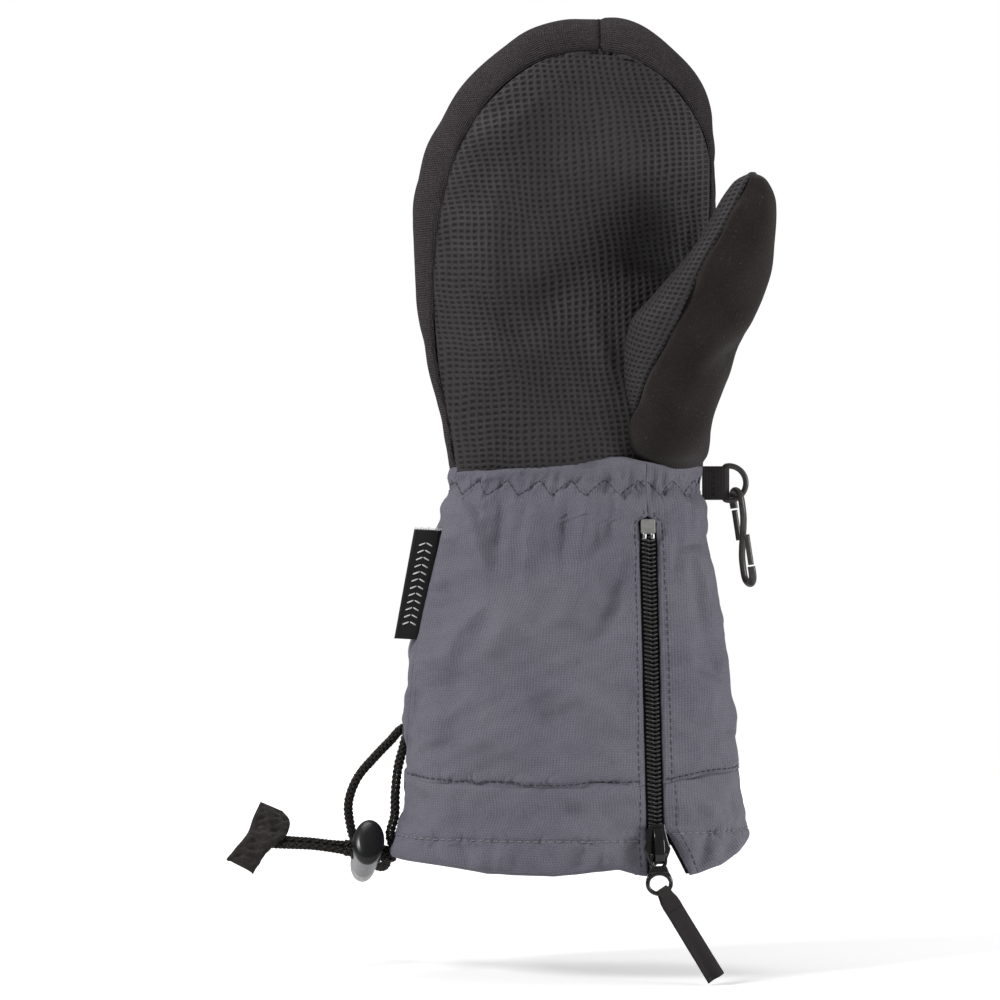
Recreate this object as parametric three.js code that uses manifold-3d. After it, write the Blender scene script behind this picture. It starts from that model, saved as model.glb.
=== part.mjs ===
// A right-hand ski mitten with a zipped gauntlet cuff, as an assembly of sewn panels, inner layers and hardware.
// Millimetres. Fingers point to +Z, the palm faces -Y, the thumb is on the +X side. Everything is drawn about the
// centre of the cuff's mouth; the whole is then moved so that the origin is the middle of the back hem's edge.
import * as THREE from 'three';
import { mergeVertices } from 'three/addons/utils/BufferGeometryUtils.js';
import Module from 'manifold-3d';

const wasm = await Module();
wasm.setup();

// ---- Driving dimensions ---------------------------------------------------------------------------------
const GAP = 0.3; // air between neighbouring solids
const RIM_Z = 0; // the cuff's rim
const HEM_Z = 31.5; // top of the turned-up hem
const WRIST_Z = 148; // where the cuff meets the hand
const DOME_Z = 250; // where the fingertip dome starts
const TIP_Z = 309.6; // fingertip
const AROUND = 24; // facets round the hand and the cuff
const FABRIC = 1.2; // one sewn panel

// Each layer is a pair of insets from the outer surface: its outside and its inside.
const SHELL = [0, FABRIC];
const MEMBRANE = [1.5, 2.0];
const HAND_DOWN = [2.3, 6.3];
const HAND_LINING = [6.6, 7.4];
const THUMB_DOWN = [1.5, 4.7];
const THUMB_LINING = [5.0, 5.8];
const ZIP_TAPE = [1.5, 2.1];
const ELASTIC = [1.5, 2.3];
const CASING = [4.5, 5.1];
const CUFF_LINING = [5.5, 6.3];

// Stations of the hand below the dome: height, left edge, right edge, half depth.
const HAND_STATIONS = [
  [138, -43.6, 47.6, 23.4],
  [148, -44.4, 48.2, 24],
  [164, -47.5, 49.4, 26],
  [189, -52.9, 50.6, 27],
  [225, -57.2, 51.8, 26],
  [250, -55.8, 52.9, 25],
];
const HAND_POWER = 2.5; // superellipse exponent of a section
const CURL = 0.0009; // how fast the fingers bend towards the palm
const CURL_FROM = 180;
const TIP_X = 6;

// Stations of the cuff: height, left edge, right edge, half depth.
const CUFF_STATIONS = [
  [0, -65.3, 65.3, 34],
  [41, -60.9, 61.2, 31],
  [77, -57.4, 57.8, 28.4],
  [100, -53, 54.3, 26.7],
  [124, -47.5, 49.8, 25],
  [139, -44.2, 48.2, 23.6],
  [148, -43, 48.2, 24],
];
const CUFF_POWER = 2.3;

// Stations of the thumb: height, centre x, centre y, half width, half depth.
const THUMB_STATIONS = [
  [141, 32, -4, 13, 12],
  [150, 33, -9, 15, 15],
  [164, 35.5, -15, 16, 16],
  [176, 36.8, -20, 17.8, 16.5],
  [195, 41.6, -27, 20.6, 17],
  [208, 48, -33, 19, 16],
  [222, 55, -38.5, 15.6, 14.2],
  [232, 58.4, -41.4, 13.2, 12.4],
];
const THUMB_DOME_Z = 232;
const THUMB_TIP = new THREE.Vector3(63.2, -46.5, 250.6);
const THUMB_AROUND = 14;

// The knuckle that lets the thumb bend: a cylinder along Y, inside it the base and outside it the tip.
const KNUCKLE = new THREE.Vector3(43, -27, 197);
const KNUCKLE_R = 24;

// The zip runs up the front of the cuff, a little to the thumb's side.
const ZIP_FOOT = [30, 0]; // x and z at the rim
const ZIP_HEAD = [27.4, 126]; // x and z at the top stop
const SLIT_HALF = 4.5; // from the zip's centre to a panel's edge
const TAPE_HALF = 13;
const TOOTH_PITCH = 3.08; // two turns of a size 5 coil
const TOOTH_HEIGHT = 1.3;
const CHAIN_HALF = 3;
const CHAIN_GAP = 0.4; // half of the free lane between the two rows, where the slider's post runs
const CHAIN_FRONT = -1;
const CHAIN_BACK = 1.15;
const SLIDER_Z = 5; // foot of the slider above the rim, along the zip
const SLIDER_LENGTH = 14.2;
const EYE_Z = -10.6; // centre of the pull's eye below its bar
const EYE_R = 3.2;
const EYE_OUTER = 4.9;
const RIBBON_LEAN = THREE.MathUtils.degToRad(31);

const CORD_R = 1.3;
const LABEL_Y = -10.1; // just in front of the cuff
const PORT = new THREE.Vector3(-59.6, 9.5, 48.6); // where the drawcord leaves the cuff

// ---- Materials ------------------------------------------------------------------------------------------
const finish = (color, roughness, metalness = 0) =>
  new THREE.MeshStandardMaterial({ color, roughness, metalness });
const MATERIALS = {
  grip: finish(0x3b3a3d, 0.75),
  oxford: finish(0x2e2c2e, 0.9),
  suede: finish(0x2b2726, 0.95),
  cuffNylon: finish(0x6e6d78, 0.7),
  lining: finish(0x4a4a50, 0.9),
  down: finish(0xe6e2d8, 0.95),
  membrane: finish(0xd8dadc, 0.5),
  elastic: finish(0xdadada, 0.9),
  webbing: finish(0x1f1d1e, 0.85),
  tape: finish(0x1c1b1d, 0.85),
  blackPlastic: finish(0x17171a, 0.35),
  greyPlastic: finish(0xa4a4a8, 0.4),
  zipMetal: finish(0x1a1a1d, 0.3, 0.6),
  steel: finish(0x9a9a9c, 0.3, 0.9),
  cord: finish(0x1b1917, 0.9),
  label: finish(0x202022, 0.7),
};

// ---- Solids ---------------------------------------------------------------------------------------------
/** A closed surface as a solid that can be cut and joined. */
function solid(geometry) {
  const bare = geometry.index ? geometry.toNonIndexed() : geometry.clone();
  for (const name of Object.keys(bare.attributes)) {
    if (name !== 'position') bare.deleteAttribute(name);
  }
  const merged = mergeVertices(bare, 1e-4);
  return new wasm.Manifold(
    new wasm.Mesh({
      numProp: 3,
      vertProperties: merged.attributes.position.array,
      triVerts: new Uint32Array(merged.index.array),
    }),
  );
}

/** The surface of a solid. */
function geometryOf(made) {
  const mesh = made.getMesh();
  const places = new Float32Array(mesh.numVert * 3);
  for (let i = 0; i < mesh.numVert; i++) {
    places.set(mesh.vertProperties.subarray(i * mesh.numProp, i * mesh.numProp + 3), i * 3);
  }
  const geometry = new THREE.BufferGeometry();
  geometry.setAttribute('position', new THREE.BufferAttribute(places, 3));
  geometry.setIndex(new THREE.BufferAttribute(mesh.triVerts, 1));
  geometry.computeVertexNormals();
  return geometry;
}

/** The largest of the separate bodies that a cut leaves. */
function largest(made) {
  return made.decompose().reduce((best, body) => (body.volume() > best.volume() ? body : best));
}

/** A skin over rings of points, closed by a flat cap at each end; a one-point ring closes to a tip. */
function skin(rings) {
  const places = [];
  const faces = [];
  const starts = rings.map((ring) => {
    const start = places.length / 3;
    ring.forEach((p) => places.push(p.x, p.y, p.z));
    return start;
  });
  for (let r = 0; r + 1 < rings.length; r++) {
    const n = rings[r].length;
    const tip = rings[r + 1].length === 1;
    for (let i = 0; i < n; i++) {
      const j = (i + 1) % n;
      if (tip) {
        faces.push(starts[r] + i, starts[r] + j, starts[r + 1]);
      } else {
        faces.push(starts[r] + i, starts[r] + j, starts[r + 1] + j);
        faces.push(starts[r] + i, starts[r + 1] + j, starts[r + 1] + i);
      }
    }
  }
  const cap = (ring, start, up) => {
    if (ring.length === 1) return;
    for (let i = 1; i + 1 < ring.length; i++) {
      faces.push(start, ...(up ? [start + i, start + i + 1] : [start + i + 1, start + i]));
    }
  };
  cap(rings[0], starts[0], false);
  cap(rings.at(-1), starts.at(-1), true);
  const geometry = new THREE.BufferGeometry();
  geometry.setAttribute('position', new THREE.Float32BufferAttribute(places, 3));
  geometry.setIndex(faces);
  return solid(geometry);
}

/** A plane shape as straight runs, without the doubled points that arcs and closed paths leave. */
function plainShape(outline, segments) {
  const given = Array.isArray(outline)
    ? new THREE.Shape(outline.map(([a, b]) => new THREE.Vector2(a, b)))
    : outline;
  const { shape, holes } = given.extractPoints(segments);
  const tidy = (run) => run.filter((p, i) => p.distanceTo(run[(i + 1) % run.length]) > 1e-3);
  const round = tidy(shape);
  const plain = new THREE.Shape(THREE.ShapeUtils.isClockWise(round) ? round.reverse() : round);
  plain.holes = holes.map((hole) => new THREE.Path(tidy(hole)));
  return plain;
}

const straight = (outline, depth, segments) =>
  new THREE.ExtrudeGeometry(plainShape(outline, segments), { depth, bevelEnabled: false });

/** A prism that runs along Y, its outline in x and z as points or a Shape. */
function prismXZ(outline, yLow, yHigh, segments = 6) {
  const geometry = straight(outline, yHigh - yLow, segments);
  return solid(geometry.rotateX(Math.PI / 2).translate(0, yHigh, 0));
}

/** A prism that runs along X, its outline in y and z. */
function prismYZ(outline, xLow, xHigh, segments = 6) {
  const geometry = straight(outline, xHigh - xLow, segments);
  return solid(geometry.rotateY(Math.PI / 2).rotateX(Math.PI / 2).translate(xLow, 0, 0));
}

/** A prism that runs along Z, its outline in x and y. */
function prismXY(outline, zLow, zHigh, segments = 6) {
  return solid(straight(outline, zHigh - zLow, segments).translate(0, 0, zLow));
}

function box(low, high) {
  const size = high.map((v, k) => v - low[k]);
  const geometry = new THREE.BoxGeometry(...size);
  return solid(geometry.translate(...low.map((v, k) => v + size[k] / 2)));
}

/** A round bar along a curve, closed at both ends. */
function bar(curve, radius, steps, around = 8) {
  const circle = plainShape(new THREE.Shape().absarc(0, 0, radius, 0, 2 * Math.PI), around);
  return solid(new THREE.ExtrudeGeometry(circle, { steps, extrudePath: curve, bevelEnabled: false }));
}

/** The outline of a stroke of one width along a run of 2-D points. */
function strokeShape(points, width) {
  const side = (sign) =>
    points.map((p, i) => {
      const before = points[Math.max(i - 1, 0)];
      const after = points[Math.min(i + 1, points.length - 1)];
      const along = after.clone().sub(before).normalize();
      return new THREE.Vector2(p.x - sign * along.y * width / 2, p.y + sign * along.x * width / 2);
    });
  return new THREE.Shape([...side(-1), ...side(1).reverse()]);
}

const assembly = new THREE.Group();

/** Adds a named piece to a group. */
function piece(name, made, material, group = assembly) {
  const mesh = new THREE.Mesh(geometryOf(made), MATERIALS[material]);
  mesh.name = name;
  group.add(mesh);
  return mesh;
}

/** A group at an origin whose x and y axes are the given directions. */
function frameAt(origin, x, y) {
  const group = new THREE.Group();
  const z = new THREE.Vector3().crossVectors(x, y);
  group.quaternion.setFromRotationMatrix(new THREE.Matrix4().makeBasis(x, y, z));
  group.position.copy(origin);
  assembly.add(group);
  return group;
}

// ---- Forms ----------------------------------------------------------------------------------------------
/** The row of a station table at a height, straight between its stations. */
function stationAt(stations, z) {
  const i = Math.max(stations.findIndex((s, k) => s[0] >= z || k === stations.length - 1), 1);
  const [low, high] = [stations[i - 1], stations[i]];
  const t = (z - low[0]) / (high[0] - low[0]);
  return low.map((v, k) => THREE.MathUtils.lerp(v, high[k], t));
}

/** A superellipse ring, counter-clockwise from +X as seen from above. */
function ring(xc, yc, z, halfX, halfY, power, count) {
  return Array.from({ length: count }, (_, i) => {
    const angle = (2 * Math.PI * i) / count;
    const round = (v) => Math.sign(v) * Math.abs(v) ** (2 / power);
    return new THREE.Vector3(
      xc + halfX * round(Math.cos(angle)),
      yc + halfY * round(Math.sin(angle)),
      z,
    );
  });
}

const curl = (z) => -CURL * Math.max(z - CURL_FROM, 0) ** 2;

/** The hand's outer form, drawn in by an inset, from a height up to the fingertip. */
function handForm(inset, from = WRIST_Z + GAP) {
  const heights = [from, 164, 189, 207, 225, DOME_Z];
  const rings = heights.map((z) => {
    const [, left, right, depth] = stationAt(HAND_STATIONS, z);
    const half = (right - left) / 2 - inset;
    return ring((left + right) / 2, curl(z), z, half, depth - inset, HAND_POWER, AROUND);
  });
  const [, left, right, depth] = stationAt(HAND_STATIONS, DOME_Z);
  const rise = TIP_Z - DOME_Z - inset;
  for (const turn of [0.22, 0.44, 0.64, 0.83]) {
    const angle = (turn * Math.PI) / 2;
    const z = DOME_Z + rise * Math.sin(angle);
    const share = (z - DOME_Z) / (TIP_Z - DOME_Z);
    const xc = THREE.MathUtils.lerp((left + right) / 2, TIP_X, share);
    const halfX = ((right - left) / 2 - inset) * Math.cos(angle);
    const halfY = (depth - inset) * Math.cos(angle) ** 0.8;
    rings.push(ring(xc, curl(z), z, halfX, halfY, HAND_POWER, AROUND));
  }
  rings.push([new THREE.Vector3(TIP_X, curl(TIP_Z), DOME_Z + rise)]);
  return skin(rings);
}

/** The cuff's form between two heights, drawn in by an inset. */
function cuffForm(inset, low = RIM_Z, high = WRIST_Z) {
  const between = CUFF_STATIONS.map((s) => s[0]).filter((z) => z > low + 1 && z < high - 1);
  const rings = [low, ...between, high].map((z) => {
    const [, left, right, depth] = stationAt(CUFF_STATIONS, z);
    const half = (right - left) / 2 - inset;
    return ring((left + right) / 2, 0, z, half, depth - inset, CUFF_POWER, AROUND);
  });
  return skin(rings);
}

/** The thumb's outer form, drawn in by an inset. */
function thumbForm(inset) {
  const rings = THUMB_STATIONS.map(([z, x, y, halfX, halfY]) =>
    ring(x, y, z, halfX - inset, halfY - inset, 2, THUMB_AROUND),
  );
  const [, x, y, halfX, halfY] = THUMB_STATIONS.at(-1);
  const rise = THUMB_TIP.z - THUMB_DOME_Z - inset;
  for (const turn of [0.35, 0.7]) {
    const angle = (turn * Math.PI) / 2;
    const share = Math.sin(angle);
    const xc = THREE.MathUtils.lerp(x, THUMB_TIP.x, share);
    const yc = THREE.MathUtils.lerp(y, THUMB_TIP.y, share);
    const shrink = Math.cos(angle);
    const z = THUMB_DOME_Z + rise * share;
    rings.push(ring(xc, yc, z, (halfX - inset) * shrink, (halfY - inset) * shrink, 2, THUMB_AROUND));
  }
  rings.push([new THREE.Vector3(THUMB_TIP.x, THUMB_TIP.y, THUMB_DOME_Z + rise)]);
  return skin(rings);
}

const layer = (form, [outside, inside], ...span) =>
  form(outside, ...span).subtract(form(inside, ...span.map((z, k) => z + (k ? 1 : -1))));

/** The y of the cuff's front surface at an x and a height. */
function cuffFront(x, z) {
  const [, left, right, depth] = stationAt(CUFF_STATIONS, z);
  const share = Math.abs(x - (left + right) / 2) / ((right - left) / 2);
  return -depth * (1 - share ** CUFF_POWER) ** (1 / CUFF_POWER);
}

// ---- Hand -----------------------------------------------------------------------------------------------
const FAR = 200;

/** Everything in front of the line round the hand's sides where the bands meet the back panel. */
function frontOf(offset) {
  const heights = [130, 180, 200, 220, 240, 260, 280, 300, 320];
  const line = heights.map((z) => [curl(z) + 1.5 + offset, z]);
  return prismYZ([[-FAR, 130], ...line, [-FAR, 320]], -FAR, FAR);
}

/** The palm panel's outline: up the little-finger side, over the fingertips and down to the thumb. */
function palmOutline(grow) {
  const centre = new THREE.Vector2(2, 225);
  const points = [
    [-43.2, 140], [-44.2, 157], [-49, 185], [-50, 211], [-47.5, 239], [-40.3, 263], [-29.5, 279],
    [-12, 291], [9, 294.6], [28, 289.8], [42.5, 275.4], [49.6, 261], [50.6, 243], [49, 222], [47, 200], [46, 140],
  ];
  const curve = new THREE.SplineCurve(points.map(([x, z]) => new THREE.Vector2(x, z)));
  return curve.getPoints(24).map((p) => {
    const out = p.clone().sub(centre).setLength(grow);
    return [p.x + out.x, p.y + out.y];
  });
}

function buildHand() {
  const thumbPassage = thumbForm(THUMB_LINING[1]);
  const thumbSeat = thumbForm(-GAP);
  const shell = layer(handForm, SHELL);
  const front = shell.intersect(frontOf(-GAP / 2));
  const palmInside = prismXZ(palmOutline(0), -FAR, 1);
  const palmOutside = prismXZ(palmOutline(GAP), -FAR, 1);
  const palm = front.intersect(palmInside).subtract(thumbSeat);
  const bands = front.subtract(palmOutside).subtract(thumbSeat);
  const crown = box([TIP_X - GAP / 2, -FAR, 200], [TIP_X + GAP / 2, FAR, 330]);
  const [little, index] = [
    bands.intersect(box([-FAR, -FAR, 100], [TIP_X, FAR, 330])),
    bands.intersect(box([TIP_X, -FAR, 100], [FAR, FAR, 330])),
  ].map((band) => largest(band.subtract(crown)));
  piece('palm_panel', largest(palm), 'grip');
  piece('side_band_little_finger', little, 'oxford');
  piece('side_band_index_finger', index, 'oxford');
  piece('back_panel', largest(shell.subtract(frontOf(GAP / 2))), 'oxford');
  piece('membrane_insert', largest(layer(handForm, MEMBRANE).subtract(thumbPassage)), 'membrane');

  // The insulation is a sheet behind the palm and a down baffle over the back of the hand.
  const fill = layer(handForm, HAND_DOWN).subtract(thumbPassage);
  piece('palm_insulation', largest(fill.intersect(frontOf(-GAP / 2))), 'down');
  piece('down_baffle', largest(fill.subtract(frontOf(GAP / 2))), 'down');
  piece('hand_lining', largest(layer(handForm, HAND_LINING).subtract(thumbPassage)), 'lining');
}

// ---- Thumb ----------------------------------------------------------------------------------------------
function knuckle(radius) {
  const geometry = new THREE.CylinderGeometry(radius, radius, 120, 48);
  return solid(geometry.translate(KNUCKLE.x, KNUCKLE.y, KNUCKLE.z));
}

/** The block on the palm's side of the thumb's seam: a wall through the thumb's middle, turned about the vertical. */
function thumbPalmSide(offset) {
  const normal = new THREE.Vector2(-0.84, 0.54).normalize();
  const along = new THREE.Vector2(normal.y, -normal.x);
  const [first, last] = [THUMB_STATIONS[0], [THUMB_TIP.z + 5, THUMB_TIP.x, THUMB_TIP.y]];
  const stations = [[first[0] - 5, first[1], first[2]], ...THUMB_STATIONS.slice(1), last];
  const rings = stations.map(([z, x, y]) => {
    const middle = new THREE.Vector2(x, y).addScaledVector(normal, offset);
    const corner = (a, n) => {
      const p = middle.clone().addScaledVector(along, a).addScaledVector(normal, n);
      return new THREE.Vector3(p.x, p.y, z);
    };
    return [corner(-90, 0), corner(90, 0), corner(90, 90), corner(-90, 90)];
  });
  return skin(rings);
}

function buildThumb() {
  const clearOfHand = handForm(-GAP, 120);
  const core = knuckle(KNUCKLE_R);
  const aboveWrist = box([-FAR, -FAR, WRIST_Z + GAP], [FAR, FAR, 400]);
  const upper = box([-FAR, -FAR, KNUCKLE.z], [FAR, FAR, 400]).subtract(knuckle(KNUCKLE_R + GAP));
  const lower = core.add(box([-FAR, -FAR, 0], [FAR, FAR, KNUCKLE.z])).intersect(aboveWrist);
  const layers = [
    ['thumb_palm_panel', SHELL, 'grip', (s) => s.intersect(thumbPalmSide(GAP / 2))],
    ['thumb_back_panel', SHELL, 'suede', (s) => s.subtract(thumbPalmSide(-GAP / 2))],
    ['thumb_insulation', THUMB_DOWN, 'down', (s) => s],
    ['thumb_lining', THUMB_LINING, 'lining', (s) => s],
  ];
  for (const [name, depths, material, cut] of layers) {
    const made = cut(layer(thumbForm, depths).subtract(clearOfHand));
    piece(name + '_base', largest(made.intersect(lower)), material);
    piece(name + '_tip', largest(made.intersect(upper)), material);
  }
}

// ---- Cuff -----------------------------------------------------------------------------------------------
const zipFoot = new THREE.Vector3(ZIP_FOOT[0], cuffFront(...ZIP_FOOT), ZIP_FOOT[1]);
const zipHead = new THREE.Vector3(ZIP_HEAD[0], cuffFront(...ZIP_HEAD), ZIP_HEAD[1]);
const zipUp = zipHead.clone().sub(zipFoot).normalize();
const zipRight = (() => {
  const beside = new THREE.Vector3(ZIP_FOOT[0] + 2, cuffFront(ZIP_FOOT[0] + 2, 60), 60);
  const before = new THREE.Vector3(ZIP_FOOT[0] - 2, cuffFront(ZIP_FOOT[0] - 2, 60), 60);
  const across = beside.sub(before);
  return across.addScaledVector(zipUp, -across.dot(zipUp)).normalize();
})();
const zipIn = new THREE.Vector3().crossVectors(zipUp, zipRight);
const zipLength = zipHead.distanceTo(zipFoot);

/** A block in the zip's own axes: x across, y into the cuff, z up the zip. */
function zipBlock(low, high) {
  const size = high.map((v, k) => v - low[k]);
  const geometry = new THREE.BoxGeometry(...size).translate(...low.map((v, k) => v + size[k] / 2));
  geometry.applyMatrix4(new THREE.Matrix4().makeBasis(zipRight, zipIn, zipUp).setPosition(zipFoot));
  return solid(geometry);
}

function buildCuff() {
  const slit = zipBlock([-SLIT_HALF, -12, -20], [SLIT_HALF, 12, zipLength + 2.5]);
  const liningSlit = zipBlock([-8, -12, -20], [8, 14, zipLength + 4]);
  const notch = prismXZ([[ZIP_FOOT[0], 14], [ZIP_FOOT[0] + 12, -5], [ZIP_FOOT[0], -5]], -FAR, 0);
  const port = solid(new THREE.SphereGeometry(3.4, 12, 8).translate(PORT.x, PORT.y, PORT.z));
  // Three sewn panels: front, thumb side and back, with seams down both edges and at the zip.
  const frontZone = box([-FAR, -FAR, -1], [FAR, -GAP / 2, 200]);
  const backZone = box([-FAR, GAP / 2, -1], [FAR, FAR, 200]);
  const body = layer(cuffForm, SHELL, HEM_Z + GAP / 2, WRIST_Z);
  const hem = layer(cuffForm, SHELL, RIM_Z, HEM_Z - GAP / 2);
  const cutAtZip = (made) => made.subtract(slit).subtract(notch);
  // Above the zip the front and side panels meet in a seam, so a thin wall of air parts them.
  const seam = zipBlock([-GAP / 2, -12, zipLength], [GAP / 2, 12, zipLength + 60]);
  const frontSide = zipBlock([-FAR, -40, -40], [0, 40, 300]);
  const thumbSideOfZip = zipBlock([0, -40, -40], [FAR, 40, 300]);
  for (const [name, band] of [['cuff', body], ['hem', hem]]) {
    const front = cutAtZip(band.intersect(frontZone)).subtract(seam);
    const suffix = name === 'cuff' ? '_panel' : '_band';
    piece(name + '_front' + suffix, largest(front.intersect(frontSide)), 'cuffNylon');
    piece(name + '_side' + suffix, largest(front.intersect(thumbSideOfZip)), 'cuffNylon');
    piece(name + '_back' + suffix, largest(band.intersect(backZone).subtract(port)), 'cuffNylon');
  }
  const lining = layer(cuffForm, CUFF_LINING, RIM_Z + 1.5, WRIST_Z - 0.5);
  piece('cuff_lining', largest(lining.subtract(liningSlit)), 'lining');
  piece('wrist_elastic', layer(cuffForm, ELASTIC, 132, 143), 'elastic');
  const channel = box([-FAR, 4, 0], [FAR, FAR, 200]);
  piece('drawcord_casing', largest(layer(cuffForm, CASING, 42, 55).intersect(channel)), 'lining');
}

// ---- Zip ------------------------------------------------------------------------------------------------
/** One row of teeth on its cord, as a comb in the zip's axes. side is -1 for the front row, 1 for the thumb's. */
function toothRow(side, from, to) {
  const [spine, root, tip] = [CHAIN_HALF, CHAIN_HALF - 0.8, CHAIN_GAP].map((v) => v * side);
  const points = [[spine, from], [root, from]];
  const shift = side > 0 ? TOOTH_PITCH / 2 : 0;
  for (let n = 0; ; n++) {
    const low = from + 0.3 + shift + n * TOOTH_PITCH;
    if (low + TOOTH_HEIGHT > to) break;
    points.push([root, low], [tip, low], [tip, low + TOOTH_HEIGHT], [root, low + TOOTH_HEIGHT]);
  }
  points.push([root, to], [spine, to]);
  const ordered = side > 0 ? points.reverse() : points;
  return prismXZ(ordered.map(([x, z]) => [x, z]), CHAIN_FRONT, CHAIN_BACK);
}

function buildZip() {
  const zip = frameAt(zipFoot, zipRight, zipIn);
  const chainTop = zipLength - 3;
  piece('zip_teeth_front', toothRow(-1, 1, chainTop), 'blackPlastic', zip);
  piece('zip_teeth_thumb', toothRow(1, 9, chainTop), 'blackPlastic', zip);
  const stop = (low, high) => box([low, CHAIN_FRONT - 0.3, chainTop + GAP], [high, CHAIN_BACK, chainTop + 2.4]);
  piece('zip_top_stop', stop(-CHAIN_HALF, CHAIN_HALF), 'greyPlastic', zip);

  // The tapes follow the cuff's curve one layer further in.
  const tapes = layer(cuffForm, ZIP_TAPE, RIM_Z + 1, 131);
  const half = (low, high) => zipBlock([low, -10, 1], [high, 20, zipLength + 3]);
  piece('zip_tape_front', largest(tapes.intersect(half(-TAPE_HALF, -0.6))), 'tape');
  piece('zip_tape_thumb', largest(tapes.intersect(half(0.6, TAPE_HALF))), 'tape');

  buildSlider(zip);
}

/** The slider's plan: narrow at the closed end of the zip, with shoulders at the open end. */
function sliderPlan(half) {
  const shape = new THREE.Shape();
  shape.moveTo(-half * 0.62, 0);
  shape.lineTo(half * 0.62, 0);
  shape.lineTo(half, 5);
  shape.quadraticCurveTo(half * 0.78, 9, half * 0.74, SLIDER_LENGTH);
  shape.lineTo(-half * 0.74, SLIDER_LENGTH);
  shape.quadraticCurveTo(-half * 0.78, 9, -half, 5);
  shape.closePath();
  return shape;
}

function buildSlider(zip) {
  const slider = new THREE.Group();
  slider.position.z = SLIDER_Z;
  zip.add(slider);
  const plateFront = CHAIN_FRONT - 0.4;
  const top = prismXZ(sliderPlan(5.4), plateFront - 1.1, plateFront);
  const bottom = prismXZ(sliderPlan(4.6), 2.5, 3.5);
  const post = box([-0.22, plateFront - 0.2, 0.6], [0.22, 2.7, 3.4]);
  const flange = (low, high) => box([low, plateFront - 0.2, 1], [high, 1.1, SLIDER_LENGTH - 0.6]);
  // The bridge is a low arch over the top plate, and the pull's bar turns under its open end.
  const arch = new THREE.Shape();
  const crown = plateFront - 1.1;
  arch.moveTo(crown + 0.2, 1.2);
  arch.lineTo(crown - 2.9, 1.2);
  arch.quadraticCurveTo(crown - 3.5, 6, crown - 2.5, 9.6);
  arch.lineTo(crown + 0.2, 12.4);
  arch.lineTo(crown + 0.2, 10.2);
  arch.lineTo(crown - 1.9, 8.4);
  arch.lineTo(crown - 2, 2.2);
  arch.lineTo(crown + 0.2, 2.2);
  arch.closePath();
  const bridge = prismYZ(arch, -1.2, 1.2);
  const made = top.add(bottom).add(post).add(flange(-4, -3.35)).add(flange(3.35, 4)).add(bridge);
  piece('zip_slider', made, 'zipMetal', slider);
  buildPull(slider, crown);
}

function buildPull(slider, crown) {
  // A bar under the bridge, two cheeks, and a plate with a round eye.
  const pull = new THREE.Group();
  pull.position.set(0, crown - 1, 3.3);
  slider.add(pull);
  const plate = new THREE.Shape();
  plate.moveTo(-2.6, 0.75);
  plate.lineTo(2.6, 0.75);
  plate.quadraticCurveTo(3.2, -3, 4, -6);
  plate.absarc(0, EYE_Z, EYE_OUTER, 0.55, Math.PI - 0.55, true);
  plate.lineTo(-4, -6);
  plate.quadraticCurveTo(-3.2, -3, -2.6, 0.75);
  const bail = new THREE.Path();
  bail.moveTo(-1.7, -0.55);
  bail.lineTo(-1.7, -3.6);
  bail.absarc(0, -3.6, 1.7, Math.PI, 2 * Math.PI, false);
  bail.lineTo(1.7, -0.55);
  bail.closePath();
  const eye = new THREE.Path().absarc(0, EYE_Z, EYE_R, 0, 2 * Math.PI, true);
  plate.holes.push(bail, eye);
  piece('zip_pull', prismXZ(plate, -0.6, 0.6), 'zipMetal', pull);
  buildRibbon(pull);
}

function buildRibbon(pull) {
  // A folded ribbon looped through the eye, leaning to the thumb's side.
  const ribbon = new THREE.Group();
  const reach = (EYE_R + EYE_OUTER) / 2;
  ribbon.position.set(reach * Math.sin(RIBBON_LEAN), 0, EYE_Z - reach * Math.cos(RIBBON_LEAN));
  ribbon.rotation.y = -RIBBON_LEAN;
  pull.add(ribbon);
  const outer = [[-1.8, 2.4], [1.8, 2.4], [1.8, -2.6], [1.1, -5], [1.1, -35], [-1.1, -35], [-1.1, -5], [-1.8, -2.6]];
  const slot = box([-5, -1.15, -1.8], [5, 1.15, 1.6]);
  const side = prismYZ(outer, -3.4, 3.4).subtract(slot);
  // The loop is narrow where it passes through the eye and full width below it.
  const half = [[1.4, 3], [1.4, -1.9], [3.4, -4.4], [3.4, -40]];
  const neck = prismXZ([...half, ...half.map(([x, z]) => [-x, z]).reverse()], -3, 3);
  piece('pull_ribbon', side.intersect(neck), 'webbing', ribbon);
}

// ---- Drawcord -------------------------------------------------------------------------------------------
const LOCK = new THREE.Vector3(-75.6, -1, 7.6);
const TAIL = new THREE.Vector3(-0.994, 0, 0.107).normalize(); // from the lock to the end tab
const PRESS = new THREE.Vector3(0, 0.8, -0.6).projectOnPlane(TAIL).normalize(); // the way the plunger stands out
const LOCK_UP = new THREE.Vector3().crossVectors(PRESS, TAIL).normalize();

const spline = (points) => new THREE.CatmullRomCurve3(points, false, 'centripetal');

/** Straight runs through a list of points. */
class PolylineCurve extends THREE.Curve {
  constructor(points) {
    super();
    this.points = points;
  }

  getPoint(t, target = new THREE.Vector3()) {
    const place = t * (this.points.length - 1);
    const i = Math.min(Math.floor(place), this.points.length - 2);
    return target.copy(this.points[i]).lerp(this.points[i + 1], place - i);
  }
}

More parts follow.
